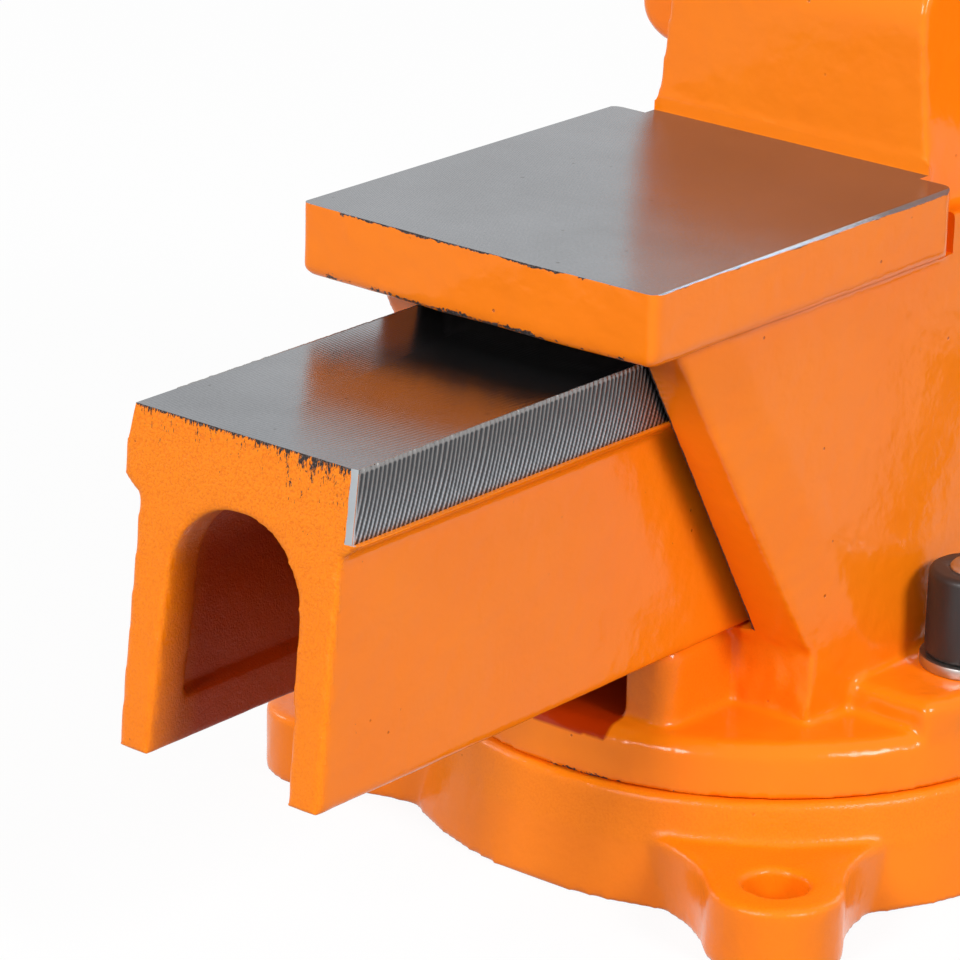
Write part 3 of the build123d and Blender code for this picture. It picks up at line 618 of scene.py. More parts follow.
def cast_mesh(node, allowance, waved, lumps=None):
    """A casting's mesh: skin over the pattern, rounded, waved and thinned out.

    allowance moves the pattern's points where iron is left for milling, waved says how much
    of the waves each point gets, and lumps gives the height of coarser lumps, if there are any.
    """
    sizes = bpy.context.scene.vise_casting
    pattern = cad_copy(node)
    set_points(pattern, allowance(points_of(pattern)))
    skin = with_modifier(pattern, "REMESH", mode="VOXEL", voxel_size=sizes.skin_cell)
    points = smoothed(skin, points_of(skin), sizes.rounding_passes)
    set_points(skin, points)
    normals = rows_of(skin.vertex_normals, "vector")
    share = waved(points)
    height = np.zeros(len(points))
    for amount, spacing in ((sizes.swell, sizes.swell_spacing), (sizes.ripple, sizes.ripple_spacing)):
        waves = [noise.noise(Vector(p)) for p in points / spacing]
        height += amount * np.array(waves)
    height *= share
    if lumps:
        height += lumps(points)
    set_points(skin, points + normals * height[:, None])
    return with_modifier(skin, "DECIMATE", ratio=sizes.kept_faces)


def keep_values(mesh, name, values):
    """Stores one value for each point, for the materials to read."""
    stored = mesh.attributes.new(name, "FLOAT", "POINT")
    stored.data.foreach_set("value", np.clip(values, 0, 2).astype(np.float32))


def face_facts(mesh):
    """Middles and normals of all faces."""
    return rows_of(mesh.polygons, "center"), rows_of(mesh.polygons, "normal")


def near(values, place, reach=0.02 * MM):
    """Which values lie at a place."""
    return np.abs(values - place) < reach


def closeness(distance, reach, inset=0.0):
    """1 at an edge, or within its inset where the edge is round, and falling off over its reach."""
    return np.exp(-np.maximum(np.abs(distance) - inset, 0) / reach)


def piece(name, mesh, body, slot, materials, *stands_for):
    """A shown piece on a body, in place of CAD nodes."""
    mesh.materials.clear()
    for material in materials:
        mesh.materials.append(material)
    made = shown(name, mesh)
    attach(made, body)
    if stands_for:
        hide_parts(*stands_for)
    return made


def shade(mesh, angle):
    """Smooth shading that stays sharp over an angle in degrees."""
    mesh.polygons.foreach_set("use_smooth", np.ones(len(mesh.polygons), bool))
    mesh.set_sharp_from_angle(angle=math.radians(angle))


def machined_piece(node, body, slot, material, bevel):
    """A machined part: the CAD shape with its sharp edges broken."""
    mesh = cad_copy(node)
    work = bmesh.new()
    work.from_mesh(mesh)
    bmesh.ops.dissolve_limit(work, angle_limit=math.radians(0.6), verts=work.verts, edges=work.edges)
    work.to_mesh(mesh)
    work.free()
    if bevel:
        mesh = with_modifier(
            mesh, "BEVEL", width=bevel, segments=2, limit_method="ANGLE", angle_limit=math.radians(40)
        )
    shade(mesh, 32)
    return piece(f"{node}_finished", mesh, body, slot, [material], node)


def tube_mesh(work, rings):
    """A closed tube through rings of points, with its two ends filled."""
    for first, second in zip(rings, rings[1:]):
        for i in range(len(first)):
            work.faces.new((first[i - 1], first[i], second[i], second[i - 1]))
    work.faces.new(rings[0])
    work.faces.new(rings[-1])
    return finished_mesh(work, bpy.data.meshes.new("tube"))


def turned_mesh(profile, middle, segments=64):
    """A closed turned shape on an axis along Y: the profile holds radius and place along it."""
    work = bmesh.new()
    rings = []
    for radius, along in profile:
        ring = []
        for i in range(segments):
            turn = 2 * math.pi * i / segments
            place = (middle[0] + radius * math.sin(turn), along, middle[1] + radius * math.cos(turn))
            ring.append(work.verts.new(place))
        rings.append(ring)
    return tube_mesh(work, rings)


def thread_groove(start, end, height, radius, pitch, depth):
    """What a tool cuts out of a screw along Y: a right-hand groove that fades in at its start."""
    steps = 40
    bottom = 0.17 * pitch
    mouth = 0.4 * pitch
    work = bmesh.new()
    sections = []
    for k in range(int((end - start) / pitch * steps) + 1):
        turn = 2 * math.pi * k / steps
        lift = (depth + 0.3 * MM) * max(0.0, 1 - k / (0.8 * steps))
        middle = start + pitch * k / steps
        section = []
        for r, y in (
            (radius - depth + lift, middle - bottom),
            (radius - depth + lift, middle + bottom),
            (radius + 2 * depth, middle + mouth),
            (radius + 2 * depth, middle - mouth),
        ):
            section.append(work.verts.new((r * math.sin(turn), y, height + r * math.cos(turn))))
        sections.append(section)
    return tube_mesh(work, sections)


class VISE_OT_base(bpy.types.Operator):
    """Casts and paints the base."""

    bl_idname = "vise.cast_base"
    bl_label = "Base"

    bore_edge = 60 * MM
    lug_top = 14 * MM

    def execute(self, context):
        mesh = cast_mesh("base", lambda points: points, self.waved)
        points = points_of(mesh)
        rim = np.hypot(points[:, 2] - SEAM, np.hypot(points[:, 0], points[:, 1]) - FOOT_RADIUS)
        keep_values(mesh, "edge", 0.75 * closeness(rim, 1.4 * MM))
        keep_values(mesh, "sand", np.where(points[:, 2] > self.lug_top, 0.3, 0.1))
        keep_values(mesh, "painted_shade", np.zeros(len(points)))
        shade(mesh, 60)
        enamel = enamel_material("orange enamel base", context.scene.vise_finishes.enamel, 0.42)
        piece("base_casting", mesh, "base", "orange_paint_base", [enamel], "base")
        return {"FINISHED"}

    def waved(self, points):
        """The outside is wavy. The bores and the underside are machined."""
        outside = np.hypot(points[:, 0], points[:, 1]) > self.bore_edge
        return (outside & (points[:, 2] > 1 * MM)).astype(float)


class VISE_OT_body(bpy.types.Operator):
    """Casts, paints and mills the body with its anvil."""

    bl_idname = "vise.cast_body"
    bl_label = "Body and anvil"

    reach = 60 * MM
    above = ANVIL_TOP + 10 * MM
    pedestal_front = 38 * MM
    pedestal_foot = 38.5 * MM
    pedestal_top = 58 * MM
    pedestal_inside = 26 * MM
    pedestal_outside = 50 * MM
    lump_height = 0.9 * MM
    lump_size = 3.6 * MM
    worn_turn = 98
    worn_spread = 9

    def execute(self, context):
        mesh = cast_mesh("vise_body", self.pattern, self.waved, self.lumps)
        mesh = milled_away(mesh, self.cuts())
        self.keep_wear_and_shade(mesh)
        shade(mesh, 40)
        enamel = enamel_material("orange enamel body", context.scene.vise_finishes.enamel, 0.5)
        milled = milled_material("ground anvil", 0.62, 75.0, 0.014 * MM, 0.82)
        made = piece("body_casting", mesh, "turret", "orange_paint_body", [enamel, milled], "vise_body")
        middles, normals = face_facts(made.data)
        flat = near(middles[:, 2], ANVIL_TOP) & (normals[:, 2] > 0.99)
        slant = math.cos(math.radians(45))
        bevel = (middles[:, 2] > ANVIL_TOP - 2 * MM) & near(normals[:, 2], slant, 0.02)
        bevel &= near(np.abs(normals[:, 0]), slant, 0.02) & (middles[:, 1] > ANVIL_FRONT)
        made.data.polygons.foreach_set("material_index", (flat | bevel).astype(np.int32))
        return {"FINISHED"}

    def pattern(self, points):
        """Iron is left on the anvil's top for milling, and its rear corners are crisp."""
        top = (points[:, 2] > ANVIL_TOP - 1.05 * MM) & (points[:, 2] < ANVIL_TOP + 0.1 * MM)
        top &= points[:, 1] > ANVIL_FRONT - 0.1 * MM
        points[top, 2] += bpy.context.scene.vise_casting.machining_allowance
        return self.crisp_corners(points)

    def crisp_corners(self, points):
        """Draws the anvil's rounded rear corners out to almost sharp ones."""
        middle = np.array((ANVIL_HALF - ANVIL_CORNER, ANVIL_REAR - ANVIL_BOW - ANVIL_CORNER))
        out = np.stack((np.abs(points[:, 0]), points[:, 1]), -1) - middle
        corner = (out > 0.01 * MM).all(1) & (points[:, 2] > ANVIL_UNDER - 0.1 * MM)
        round_norm = np.hypot(*out[corner].T)
        square_norm = (out[corner] ** 7).sum(1) ** (1 / 7)
        drawn = out[corner] * (round_norm / square_norm)[:, None]
        points[corner, 0] = np.sign(points[corner, 0]) * (middle[0] + drawn[:, 0])
        points[corner, 1] = middle[1] + drawn[:, 1]
        return points

    def waved(self, points):
        """No waves in the machined channel, on the seam, or where the jaw plate sits."""
        x, y, z = points.T
        inside = (np.abs(x) < RAIL_HALF + 2 * MM) & (z < SLIDE_TOP + 2 * MM) & (z > SLIDE_FOOT - 3 * MM)
        below = z < SEAM + 0.5 * MM
        front = y < -40 * MM
        return 1.0 - (inside | below | front).astype(float)

    def lumps(self, points):
        """Coarse lumps on the pedestal under the cheeks' rear."""
        x, y, z = points.T
        rough = np.clip((y - self.pedestal_front) / (3 * MM), 0, 1)
        rough *= np.clip((self.pedestal_top - z) / (5 * MM), 0, 1) * (z > self.pedestal_foot)
        rough *= (np.abs(x) > self.pedestal_inside) * (np.abs(x) < self.pedestal_outside)
        squeezed = points / self.lump_size * (1, 1, 0.5)
        return self.lump_height * rough * np.array([noise.noise(Vector(p)) for p in squeezed])

    def cuts(self):
        """What is milled and ground off the casting."""
        cuts = [
            box_mesh(
                (-self.reach, ANVIL_FRONT + 0.1 * MM, ANVIL_TOP),
                (self.reach, ANVIL_REAR + 10 * MM, self.above),
            ),
            box_mesh(
                (-RAIL_HALF - CHANNEL_GAP, CHEEK_FRONT - 5 * MM, SLIDE_FOOT - CHANNEL_GAP),
                (RAIL_HALF + CHANNEL_GAP, CHANNEL_REAR, SLIDE_TOP + CHANNEL_GAP),
            ),
        ]
        front = ANVIL_FRONT - 3 * MM
        for side in (-1, 1):
            low_x, high_x = sorted((side * (NECK_HALF + 0.4 * MM), side * self.reach))
            cuts.append(box_mesh((low_x, front, ANVIL_TOP), (high_x, 0, self.above)))
            cuts.append(box_mesh((low_x, front, ANVIL_UNDER - 1 * MM), (high_x, EAR_FRONT, self.above)))
            cuts.extend(self.ear_corner(side))
            cuts.append(self.edge_wedge(side))
        return cuts

    def ear_corner(self, side):
        """Flats that round the anvil's front corners, where it stands out beside the jaw."""
        flats = []
        for turn in (18, 45, 72):
            out = Vector((side * math.cos(math.radians(turn)), -math.sin(math.radians(turn)), 0))
            along = Vector((out.y, -out.x, 0)) * 3 * MM
            touch = Vector((side * (ANVIL_HALF - EAR_ROUND), EAR_FRONT + EAR_ROUND, 0)) + out * EAR_ROUND
            corners = []
            for z in (ANVIL_UNDER - 1 * MM, ANVIL_TOP + 3 * MM):
                for end in (touch - along, touch + along):
                    corners.append((end.x, end.y, z))
                    corners.append((end.x + out.x * 3 * MM, end.y + out.y * 3 * MM, z))
            flats.append(wedge_mesh(corners))
        return flats

    def wedge_width(self, y):
        """Width of the ground bevel along the anvil's side, which grows towards the jaw."""
        return 0.3 * MM + 0.55 * MM * (ANVIL_REAR - y) / (ANVIL_REAR - ANVIL_FRONT)

    def edge_wedge(self, side):
        """What the grinder takes off the anvil's side edge."""
        corners = []
        beyond = 2 * MM
        for y in (ANVIL_REAR + 5 * MM, ANVIL_FRONT - 1 * MM):
            width = self.wedge_width(y)
            corners.append((side * (ANVIL_HALF + beyond), y, ANVIL_TOP - width - beyond))
            corners.append((side * (ANVIL_HALF + beyond), y, ANVIL_TOP + beyond))
            corners.append((side * (ANVIL_HALF - width - beyond), y, ANVIL_TOP + beyond))
        return wedge_mesh(corners)

    def keep_wear_and_shade(self, mesh):
        """Stores where paint is chipped, where the cast skin is sandy and where shade is painted in."""
        points = points_of(mesh)
        x, y, z = points.T
        side = np.abs(x) - ANVIL_HALF
        to_rear = ANVIL_REAR - y
        low_edge = np.hypot(z - ANVIL_UNDER, to_rear)
        top_edge = np.hypot(z - ANVIL_TOP, to_rear)
        side_edge = np.hypot(z - ANVIL_TOP + self.wedge_width(y), side)
        upright = np.hypot(side + 1.5 * MM, to_rear - 2 * MM) + 0.4 * MM
        rim = np.hypot(z - SEAM, np.hypot(x, y) - TABLE_RADIUS)
        turn = np.degrees(np.arctan2(y, x))
        worn = np.exp(-(((turn - self.worn_turn) / self.worn_spread) ** 2))
        edge = np.maximum.reduce(
            [
                0.92 * closeness(low_edge, 1.3 * MM, 1.3 * MM),
                1.2 * closeness(top_edge, 0.7 * MM, 0.3 * MM),
                0.85 * closeness(side_edge, 0.35 * MM, 0.1 * MM),
                0.75 * closeness(upright, 1.6 * MM),
                (0.8 + 0.7 * worn) * closeness(rim, 1.0 * MM, 0.4 * MM),
            ]
        )
        # The machined ways in the channel and under the anvil are bare iron, drawn in the near-black
        # chipped-iron colour: partly the real unpainted iron, partly painted shade where the anvil covers
        # the channel.
        ways = (np.abs(x) < RAIL_HALF + 1 * MM) & (z > SLIDE_FOOT) & (z < ANVIL_UNDER + 1 * MM)
        edge[ways & (to_rear > 4 * MM)] = 2
        keep_values(mesh, "edge", edge)
        keep_values(mesh, "sand", np.where((y > 39 * MM) & (z < 53 * MM) & (z > 38 * MM), 0.25, 0.03))
        # Painted shade: the slot between the ledges is darkened, as if no light came into it.
        pit = (np.abs(x) < LEDGE_SLOT + 0.6 * MM) & (z > SEAM + 9 * MM) & (z < SLIDE_FOOT + 1 * MM)
        keep_values(mesh, "painted_shade", pit.astype(float))


class VISE_OT_slide(bpy.types.Operator):
    """Casts, paints and mills the moving jaw with its hollow slide."""

    bl_idname = "vise.cast_slide"
    bl_label = "Moving jaw and slide"

    front = JAW_FACE + 0.4 * MM
    back = SLIDE_REAR_LOW + 10 * MM
    reach = 40 * MM
    above = SLIDE_TOP + 10 * MM
    lip_start = SLIDE_REAR_TOP - CAST_LIP

    ridge_pitch = 1.4 * MM
    ridge_depth = 0.24 * MM
    cutter_radius = 46 * MM
    cutter_lift = 5 * MM

    def execute(self, context):
        mesh = cast_mesh("moving_jaw", self.pattern, self.waved)
        mesh = milled_away(mesh, self.cuts())
        self.keep_wear_and_shade(mesh)
        shade(mesh, 50)
        enamel = enamel_material(
            "orange enamel slide", context.scene.vise_finishes.enamel, 0.5, 0.45, (1.3, 1, 0.3), 2.7
        )
        top = milled_material("milled slide top", 0.9, 90.0, 0.011 * MM, 0.98)
        bright_cut = metal_material("fresh cut", (0.43, 0.46, 0.48), 0.34, grain=(1.0, 1.0, 0.2))
        finishes = [enamel, top, bright_cut]
        made = piece("slide_casting", mesh, "slide", "orange_paint_jaw", finishes, "moving_jaw")
        middles, normals = face_facts(made.data)
        flat = near(middles[:, 2], SLIDE_TOP) & (normals[:, 2] > 0.99) & (middles[:, 1] > self.front)
        cut = near(normals[:, 0], -CUT_DEPTH / CUT_EDGE, 0.06) & (middles[:, 2] > RAIL_FOOT)
        cut &= (middles[:, 0] < -RAIL_FLOOR + CUT_EDGE) & (middles[:, 1] > SLIDE_REAR_TOP - 1 * MM)
        made.data.polygons.foreach_set("material_index", flat + 2 * (cut & ~flat).astype(np.int32))
        ridged = ridged_material()
        for name, side, rear_top in (
            ("left_rail_face", -1, SLIDE_REAR_TOP - CUT_DEPTH),
            ("right_rail_face", 1, self.lip_start),
        ):
            piece(name, self.rail_face(side, rear_top), "slide", "orange_paint_jaw", [ridged])
        return {"FINISHED"}

    def pattern(self, points):
        """Iron is left on the slide's top and rails for milling."""
        extra = bpy.context.scene.vise_casting.machining_allowance
        end = points[:, 1] > SLIDE_REAR_TOP - 8 * MM
        top = end & (points[:, 2] > SLIDE_TOP - 0.1 * MM)
        rail = end & (np.abs(points[:, 0]) > RAIL_HALF - 0.1 * MM)
        points[top, 2] += extra
        points[top, 1] -= extra * END_SLOPE
        points[rail, 0] += np.sign(points[rail, 0]) * extra
        return points

    def waved(self, points):
        """The slide is wavy, and less so than the other castings. The jaw is even."""
        return (points[:, 1] > JAW_FACE).astype(float) * 0.8

    def cuts(self):
        """What the face mill takes off the slide's top, its rails and its rear edge."""
        lip = [
            (RAIL_FLOOR, self.above),
            (RAIL_FLOOR, SLIDE_TOP),
            (RAIL_FLOOR + LIP_BULGE, SLIDE_TOP - LIP_DROP),
            (self.reach, SLIDE_TOP - LIP_DROP),
            (self.reach, self.above),
        ]
        return [
            box_mesh((-self.reach, self.front, SLIDE_TOP), (self.reach, self.back, self.above)),
            box_mesh((RAIL_FLOOR, self.front, RAIL_FOOT), (self.reach, self.lip_start, self.above)),
            box_mesh((-self.reach, self.front, RAIL_FOOT), (-RAIL_FLOOR, self.back, self.above)),
            wedge_mesh([(x, y, z) for y in (self.lip_start - 1 * MM, self.back) for x, z in lip]),
            self.edge_cut(),
        ]

    def edge_cut(self):
        """What the cutter broke off the end face along the left rail's upright edge."""
        beyond = 1 * MM
        corners = []
        for z in (RAIL_FOOT - 0.2 * MM, SLIDE_TOP + 0.2 * MM):
            rear = SLIDE_REAR_TOP + (SLIDE_TOP - z) * END_SLOPE
            for share in (-beyond / CUT_EDGE, 1 + beyond / CUT_EDGE):
                corners.append((-RAIL_FLOOR + CUT_EDGE * (1 - share), rear - CUT_DEPTH * share, z))
            corners.append((-RAIL_FLOOR - beyond, rear + beyond, z))
        return wedge_mesh(corners)

    def keep_wear_and_shade(self, mesh):
        """Stores where paint is chipped, where the cast skin is sandy and where shade is painted into the
        hollow.
        """
        x, y, z = points_of(mesh).T
        to_end = SLIDE_REAR_TOP + (SLIDE_TOP - z) * END_SLOPE - y
        top_edge = np.hypot(z - SLIDE_TOP, to_end)
        strip_edge = np.hypot(x + RAIL_HALF - CUT_EDGE, to_end)
        strip_edge = np.where(z > RAIL_FOOT, strip_edge, 1.0)
        foot = np.hypot(z - SLIDE_FOOT, to_end) + 0.5 * MM
        to_left = np.clip(0.5 - x / (2 * RAIL_HALF), 0, 1)
        edge = np.maximum.reduce(
            [
                (0.45 + 0.5 * to_left) * closeness(top_edge, 7.5 * MM),
                1.35 * closeness(top_edge, 0.5 * MM),
                1.1 * closeness(strip_edge, 0.7 * MM),
                0.6 * closeness(foot, 1.2 * MM),
            ]
        )
        keep_values(mesh, "edge", edge)
        inside = (np.abs(x) < HOLLOW_HALF) & (z < HOLLOW_TOP)
        inside &= (to_end > 1.5 * MM) & (y > JAW_FACE - FRONT_WALL)
        height = np.clip((z - 70 * MM) / (50 * MM), 0, 1)
        sand = np.where(to_end < 1.2 * MM, 0.45 + 0.45 * height, 0.05)
        keep_values(mesh, "sand", np.where(inside, 0.6, sand))
        # Painted shade: the hollow darkens deeper in from the end face, as if light came in only at its
        # mouth.
        keep_values(mesh, "painted_shade", inside * np.clip(to_end / (16 * MM), 0, 0.95))

    def rail_face(self, side, rear_top):
        """A rail's side as the face mill leaves it: curved ridges and a ragged burr on top."""
        heights = np.append(np.linspace(RAIL_FOOT, SLIDE_TOP - 0.35 * MM, 21), SLIDE_TOP + 0.03 * MM)
        share = np.linspace(0, 1, 940)

        def uneven(per_length, seed):
            return np.array([noise.noise(Vector((v * per_length, side, seed))) for v in share])

        z, t = np.meshgrid(heights, share, indexing="ij")
        rear = rear_top + (SLIDE_TOP - z) * END_SLOPE - 0.1 * MM
        y = self.front + t * (rear - self.front)
        drop = SLIDE_TOP + self.cutter_lift - z
        bend = self.cutter_radius - np.sqrt(self.cutter_radius**2 - drop**2)
        turn = (y - bend) / self.ridge_pitch + 0.35 * uneven(40, 0.0)[None, :]
        rough = uneven(900, 5.0)
        crest = (0.5 + 0.5 * np.cos(2 * math.pi * turn)) ** 1.5
        crest *= 0.8 + 0.2 * rough[None, :]
        flat_end = np.clip((rear - y) / (0.4 * MM), 0, 1)
        crest = crest * flat_end + 0.75 * (1 - flat_end)
        depth = self.ridge_depth * (0.35 + 0.65 * np.clip((z - RAIL_FOOT) / (4 * MM), 0, 1))
        x = RAIL_HALF - depth * (1 - crest)
        burr = 0.3 + 0.28 * rough + 0.3 * uneven(130, 9.0)
        x[-1] = RAIL_HALF - np.clip(burr, 0.08, 0.9) * MM
        z[-2] -= np.clip(burr, 0.0, 0.6) * 0.5 * MM
        z[-1] += np.clip(burr, 0, 1) * 0.06 * MM
        outer = np.stack((side * x, y, z), -1).reshape(-1, 3)
        floor = np.stack((np.full_like(x, side * (RAIL_FLOOR - 0.6 * MM)), y, z), -1)
        floor[-1, :, 2] = SLIDE_TOP - 0.05 * MM
        made = slab_mesh(outer, floor.reshape(-1, 3), *z.shape)
        # crest and low steer the ridged material's painted highlights and shade; the burr counts as a
        # crest.
        crest[-2:] = 1.0
        keep_values(made, "crest", np.tile(crest.ravel(), 2))
        keep_values(made, "low", np.tile(((SLIDE_TOP - z) / RAIL_HEIGHT).ravel(), 2))
        shade(made, 60)
        return made


class VISE_OT_plates(bpy.types.Operator):
    """Cuts the two hardened jaw plates with crossed teeth, and their countersunk holes."""

    bl_idname = "vise.cut_plates"
    bl_label = "Jaw plates"

    plate_colour = (0.3, 0.305, 0.32)
    cell = 0.5 * MM
    tooth_pitch = 4 * MM
    tooth_depth = 0.8 * MM
    border = 1 * MM
    screw_sink = 0.9 * MM
    head_radius = 7.52 * MM
    hole_radius = 4.02 * MM

    def execute(self, context):
        steel = metal_material("hardened plate", self.plate_colour, 0.34, 0.1, (1.0, 4.0, 1.0))
        for node, body, outward in (("fixed_jaw_plate", "turret", -1), ("moving_jaw_plate", "slide", 1)):
            mesh = self.crossed_teeth(node, outward)
            piece(f"{node}_cut", mesh, body, "hardened_plate", [steel], node)
        return {"FINISHED"}

    def crossed_teeth(self, node, outward):
        """A plate whose face carries two crossing rows of V grooves."""
        low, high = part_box(node)
        face, back = (high.y, low.y) if outward > 0 else (low.y, high.y)
        columns = round((high.x - low.x) / self.cell) + 1
        rows = round((high.z - low.z) / self.cell) + 1
        x, z = np.meshgrid(np.linspace(low.x, high.x, columns), np.linspace(low.z, high.z, rows))
        grooves = [
            np.clip(np.abs(2 * ((v / self.tooth_pitch) % 1) - 1) * 1.5 - 0.5, 0, 1)
            for v in (x + z, x - z)
        ]
        to_border = np.minimum.reduce([x - low.x, high.x - x, z - low.z, high.z - z])
        depth = np.maximum(self.tooth_depth * np.maximum(*grooves), self.border - to_border)
        front = np.stack((x, face - outward * depth, z), -1).reshape(-1, 3)
        rear = np.stack((x, np.full_like(x, back), z), -1).reshape(-1, 3)
        mesh = slab_mesh(front, rear, rows, columns)
        sink = face - outward * self.screw_sink
        profile = [
            (self.head_radius, face + outward * MM),
            (self.head_radius, sink),
            (self.hole_radius, sink - outward * 3.5 * MM),
            (self.hole_radius, back - outward * MM),
        ]
        places = self.screw_places(node.replace("jaw_plate", "plate_screws"))
        mesh = milled_away(mesh, [turned_mesh(profile, place) for place in places])
        mesh = with_modifier(mesh, "DECIMATE", decimate_type="DISSOLVE", angle_limit=math.radians(0.5))
        shade(mesh, 20)
        return mesh

    def screw_places(self, node):
        """Axes of a node's two screws, as x and z."""
        low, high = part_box(node)
        radius = (high.z - low.z) / 2
        height = (low.z + high.z) / 2
        return (low.x + radius, height), (high.x - radius, height)


class VISE_OT_screw(bpy.types.Operator):
    """Cuts the lead screw's thread."""

    bl_idname = "vise.cut_screw"
    bl_label = "Lead screw"

    pitch = 5 * MM
    thread_depth = 2.2 * MM
    thread_radius = 11 * MM
    thread_start = -58 * MM

    def execute(self, context):
        colour = context.scene.vise_finishes.turned_steel
        steel = metal_material("turned screw", colour, 0.26, grain=(0.3, 6.0, 0.3))
        groove = thread_groove(
            self.thread_start,
            SCREW_END + 3 * MM,
            SCREW_HEIGHT,
            self.thread_radius,
            self.pitch,
            self.thread_depth,
        )
        mesh = milled_away(cad_copy("lead_screw"), [groove])
        shade(mesh, 30)
        piece("lead_screw_threaded", mesh, "screw", "turned_steel", [steel], "lead_screw")
        return {"FINISHED"}


class VISE_OT_hardware(bpy.types.Operator):
    """Finishes the handle, clamps, nut and fasteners."""

    bl_idname = "vise.finish_hardware"
    bl_label = "Hardware"

    def execute(self, context):
        looks = context.scene.vise_finishes
        steel = metal_material("turned steel", looks.turned_steel, 0.28, grain=(0.3, 6.0, 0.3))
        zinc = metal_material("zinc plate", looks.zinc, 0.3)
        dark = metal_material("black oxide", (0.05, 0.05, 0.055), 0.38)
        bright = metal_material("bright bar", (0.62, 0.63, 0.65), 0.14, 0.08, (0.4, 3.0, 3.0))
        bronze = metal_material("bronze", (0.6, 0.36, 0.15), 0.3)
        iron = metal_material("bare iron", (0.2, 0.2, 0.21), 0.45)
        ball = moulded_material("black ball", (0.012, 0.012, 0.013), 0.22)
        lever = moulded_material("black lever", (0.014, 0.014, 0.015), 0.36)
        for node, body, slot, material, bevel in (
            ("retaining_collar", "screw", "turned_steel", steel, 0.3),
            ("collar_pin", "screw", "dark_screw", dark, 0.3),
            ("lead_nut", "turret", "raw_iron", iron, 0.5),
            ("thrust_washer", "slide", "bronze", bronze, 0.3),
            ("screw_spring", "slide", "spring_steel", dark, 0.4),
            ("handle_bar", "bar", "bright_bar", bright, 0.3),
            ("left_bar_ball", "bar", "bar_ball", ball, 0.3),
            ("right_bar_ball", "bar", "bar_ball", ball, 0.3),
            ("pivot_washer", "turret", "zinc_steel", zinc, 0.3),
            ("pivot_bolt", "turret", "zinc_steel", zinc, 0.4),
            ("left_clamp_bolt", "turret", "zinc_steel", zinc, 0.4),
            ("right_clamp_bolt", "turret", "zinc_steel", zinc, 0.4),
            ("left_clamp_washer", "turret", "zinc_steel", zinc, 0.3),
            ("right_clamp_washer", "turret", "zinc_steel", zinc, 0.3),
            ("left_clamp_lever", "left_lever", "lever_iron", lever, 0.8),
            ("right_clamp_lever", "right_lever", "lever_iron", lever, 0.8),
            ("fixed_plate_screws", "turret", "dark_screw", dark, 0.2),
            ("moving_plate_screws", "slide", "dark_screw", dark, 0.2),
        ):
            machined_piece(node, body, slot, material, bevel * MM)
        return {"FINISHED"}


def seen_or_mirrored(tree):
    """1 for what the camera sees directly, in a mirror or through glass."""
    path = tree.nodes.new("ShaderNodeLightPath").outputs
    seen = sum_node(tree, "MAXIMUM", path["Is Camera Ray"], path["Is Glossy Ray"])
    return sum_node(tree, "MAXIMUM", seen, path["Is Transmission Ray"])


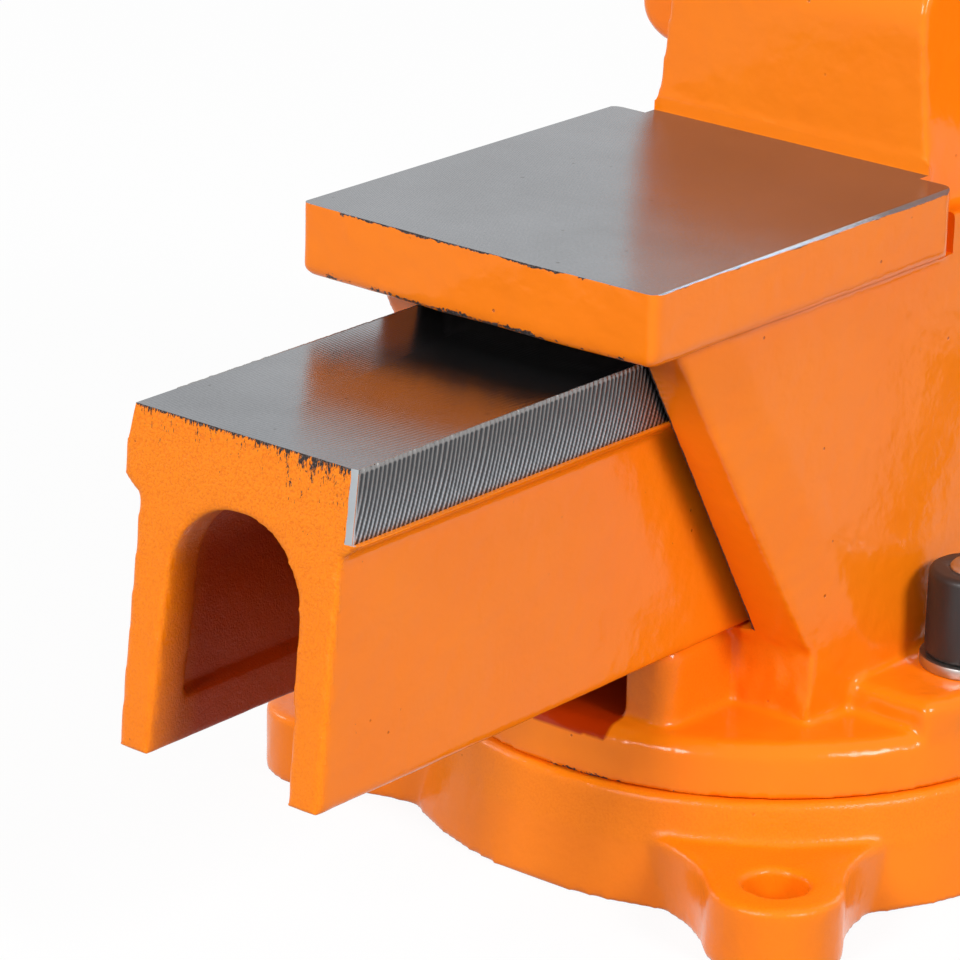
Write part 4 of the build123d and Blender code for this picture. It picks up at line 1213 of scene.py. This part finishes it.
class VISE_OT_stage(bpy.types.Operator):
    """Sets up camera, floor, sky and lamps."""

    bl_idname = "vise.set_stage"
    bl_label = "Stage"

    camera_place = Vector((-0.605376, 0.856616, 0.449340))
    camera_azimuth = 218.6803
    camera_elevation = 19.9182
    camera_roll = 1.6943
    camera_lens = 185.2329
    lamp_aim = Vector((0, 0.05, 0.09))
    lamp_size = 0.5
    floor_half = 6.0
    floor_drop = 0.05 * MM
    floor_glow = 0.92

    def execute(self, context):
        levels = context.scene.vise_studio
        self.camera(context)
        self.floor()
        self.sky(context, levels.sky_level)
        for name, place, power in (
            ("rear_softbox", (-0.06, 1.6, 1.0), levels.rear_power),
            ("side_softbox", (-1.55, 0.2, 1.0), levels.side_power),
            ("front_softbox", (-0.3, -1.8, 1.0), levels.front_power),
            ("right_softbox", (1.8, 0.4, 1.0), levels.front_power),
        ):
            self.softbox(name, Vector(place), power)
        context.scene.view_settings.view_transform = "Standard"
        return {"FINISHED"}

    def camera(self, context):
        """The photograph's viewing angle."""
        lens = bpy.data.cameras.new("camera")
        lens.lens = self.camera_lens
        lens.clip_start = 0.01
        lens.clip_end = 50.0
        made = shown("camera", lens)
        turn, rise = math.radians(self.camera_azimuth), math.radians(self.camera_elevation)
        back = Vector(
            (math.sin(turn) * math.cos(rise), -math.cos(turn) * math.cos(rise), math.sin(rise))
        )
        upright = (-back).to_track_quat("-Z", "Y").to_matrix()
        rolled = upright @ Matrix.Rotation(math.radians(self.camera_roll), 3, "Z")
        made.matrix_world = Matrix.Translation(self.camera_place) @ rolled.to_4x4()
        context.scene.camera = made

    def softbox(self, name, place, power):
        """A square area lamp that faces the vise."""
        lamp = bpy.data.lights.new(name, "AREA")
        lamp.shape = "SQUARE"
        lamp.size = self.lamp_size
        lamp.energy = power
        made = shown(name, lamp)
        made.location = place
        made.rotation_euler = (self.lamp_aim - place).to_track_quat("-Z", "Y").to_euler()

    def floor(self):
        """A large pale floor that keeps the vise's soft shadow."""
        mesh = bpy.data.meshes.new("floor")
        h = self.floor_half
        mesh.from_pydata([(-h, -h, 0), (h, -h, 0), (h, h, 0), (-h, h, 0)], [], [(0, 1, 2, 3)])
        made = shown("floor", mesh)
        made.location.z = -self.floor_drop
        material = bpy.data.materials.new("pale floor")
        tree = cleared_tree(material)
        seen = seen_or_mirrored(tree)
        tone = blend_node(tree, seen, (0.3, 0.3, 0.3, 1.0), (0.9, 0.9, 0.9, 1.0))
        matt = new_node(tree, "ShaderNodeBsdfDiffuse", Color=tone)
        glow = new_node(tree, "ShaderNodeEmission", Color=(1.0, 1.0, 1.0, 1.0), Strength=1.0)
        mix = tree.nodes.new("ShaderNodeMixShader")
        share = sum_node(tree, "MULTIPLY", seen, self.floor_glow)
        for socket, value in zip(mix.inputs, (share, matt.outputs[0], glow.outputs[0])):
            plug_in(tree, socket, value)
        out = tree.nodes.new("ShaderNodeOutputMaterial")
        tree.links.new(mix.outputs[0], out.inputs["Surface"])
        mesh.materials.append(material)

    def sky(self, context, level):
        """Even light from all round, white where it is seen."""
        world = bpy.data.worlds.new("sky")
        context.scene.world = world
        tree = cleared_tree(world)
        strength = sum_node(tree, "MULTIPLY_ADD", seen_or_mirrored(tree), 1.0 - level, level)
        light = new_node(tree, "ShaderNodeBackground", Color=(1.0, 1.0, 1.0, 1.0), Strength=strength)
        out = tree.nodes.new("ShaderNodeOutputWorld")
        tree.links.new(light.outputs[0], out.inputs["Surface"])


OPERATORS = (
    VISE_OT_base,
    VISE_OT_body,
    VISE_OT_slide,
    VISE_OT_plates,
    VISE_OT_screw,
    VISE_OT_hardware,
    VISE_OT_stage,
)
SETTINGS = {"vise_casting": CastingSizes, "vise_finishes": Finishes, "vise_studio": StudioLevels}


class VISE_PT_panel(bpy.types.Panel):
    """Lists what makes the vise, and its settings."""

    bl_idname = "VISE_PT_panel"
    bl_label = "Swivel bench vise"
    bl_space_type = "VIEW_3D"
    bl_region_type = "UI"
    bl_category = "Vise"

    def draw(self, context):
        for operator in OPERATORS:
            self.layout.operator(operator.bl_idname)
        for name, group in SETTINGS.items():
            box = self.layout.box()
            for field in group.__annotations__:
                box.prop(getattr(context.scene, name), field)


def register():
    """Adds the settings, the operators and the panel."""
    for group in SETTINGS.values():
        bpy.utils.register_class(group)
    for name, group in SETTINGS.items():
        setattr(bpy.types.Scene, name, PointerProperty(type=group))
    for operator in OPERATORS:
        bpy.utils.register_class(operator)
    bpy.utils.register_class(VISE_PT_panel)


def unregister():
    """Takes them away again."""
    bpy.utils.unregister_class(VISE_PT_panel)
    for operator in reversed(OPERATORS):
        bpy.utils.unregister_class(operator)
    for name, group in SETTINGS.items():
        delattr(bpy.types.Scene, name)
        bpy.utils.unregister_class(group)


def main():
    register()
    bpy.ops.vise.cast_base()
    bpy.ops.vise.cast_body()
    bpy.ops.vise.cast_slide()
    bpy.ops.vise.cut_plates()
    bpy.ops.vise.cut_screw()
    bpy.ops.vise.finish_hardware()
    bpy.ops.vise.set_stage()


if __name__ == "__main__":
    main()
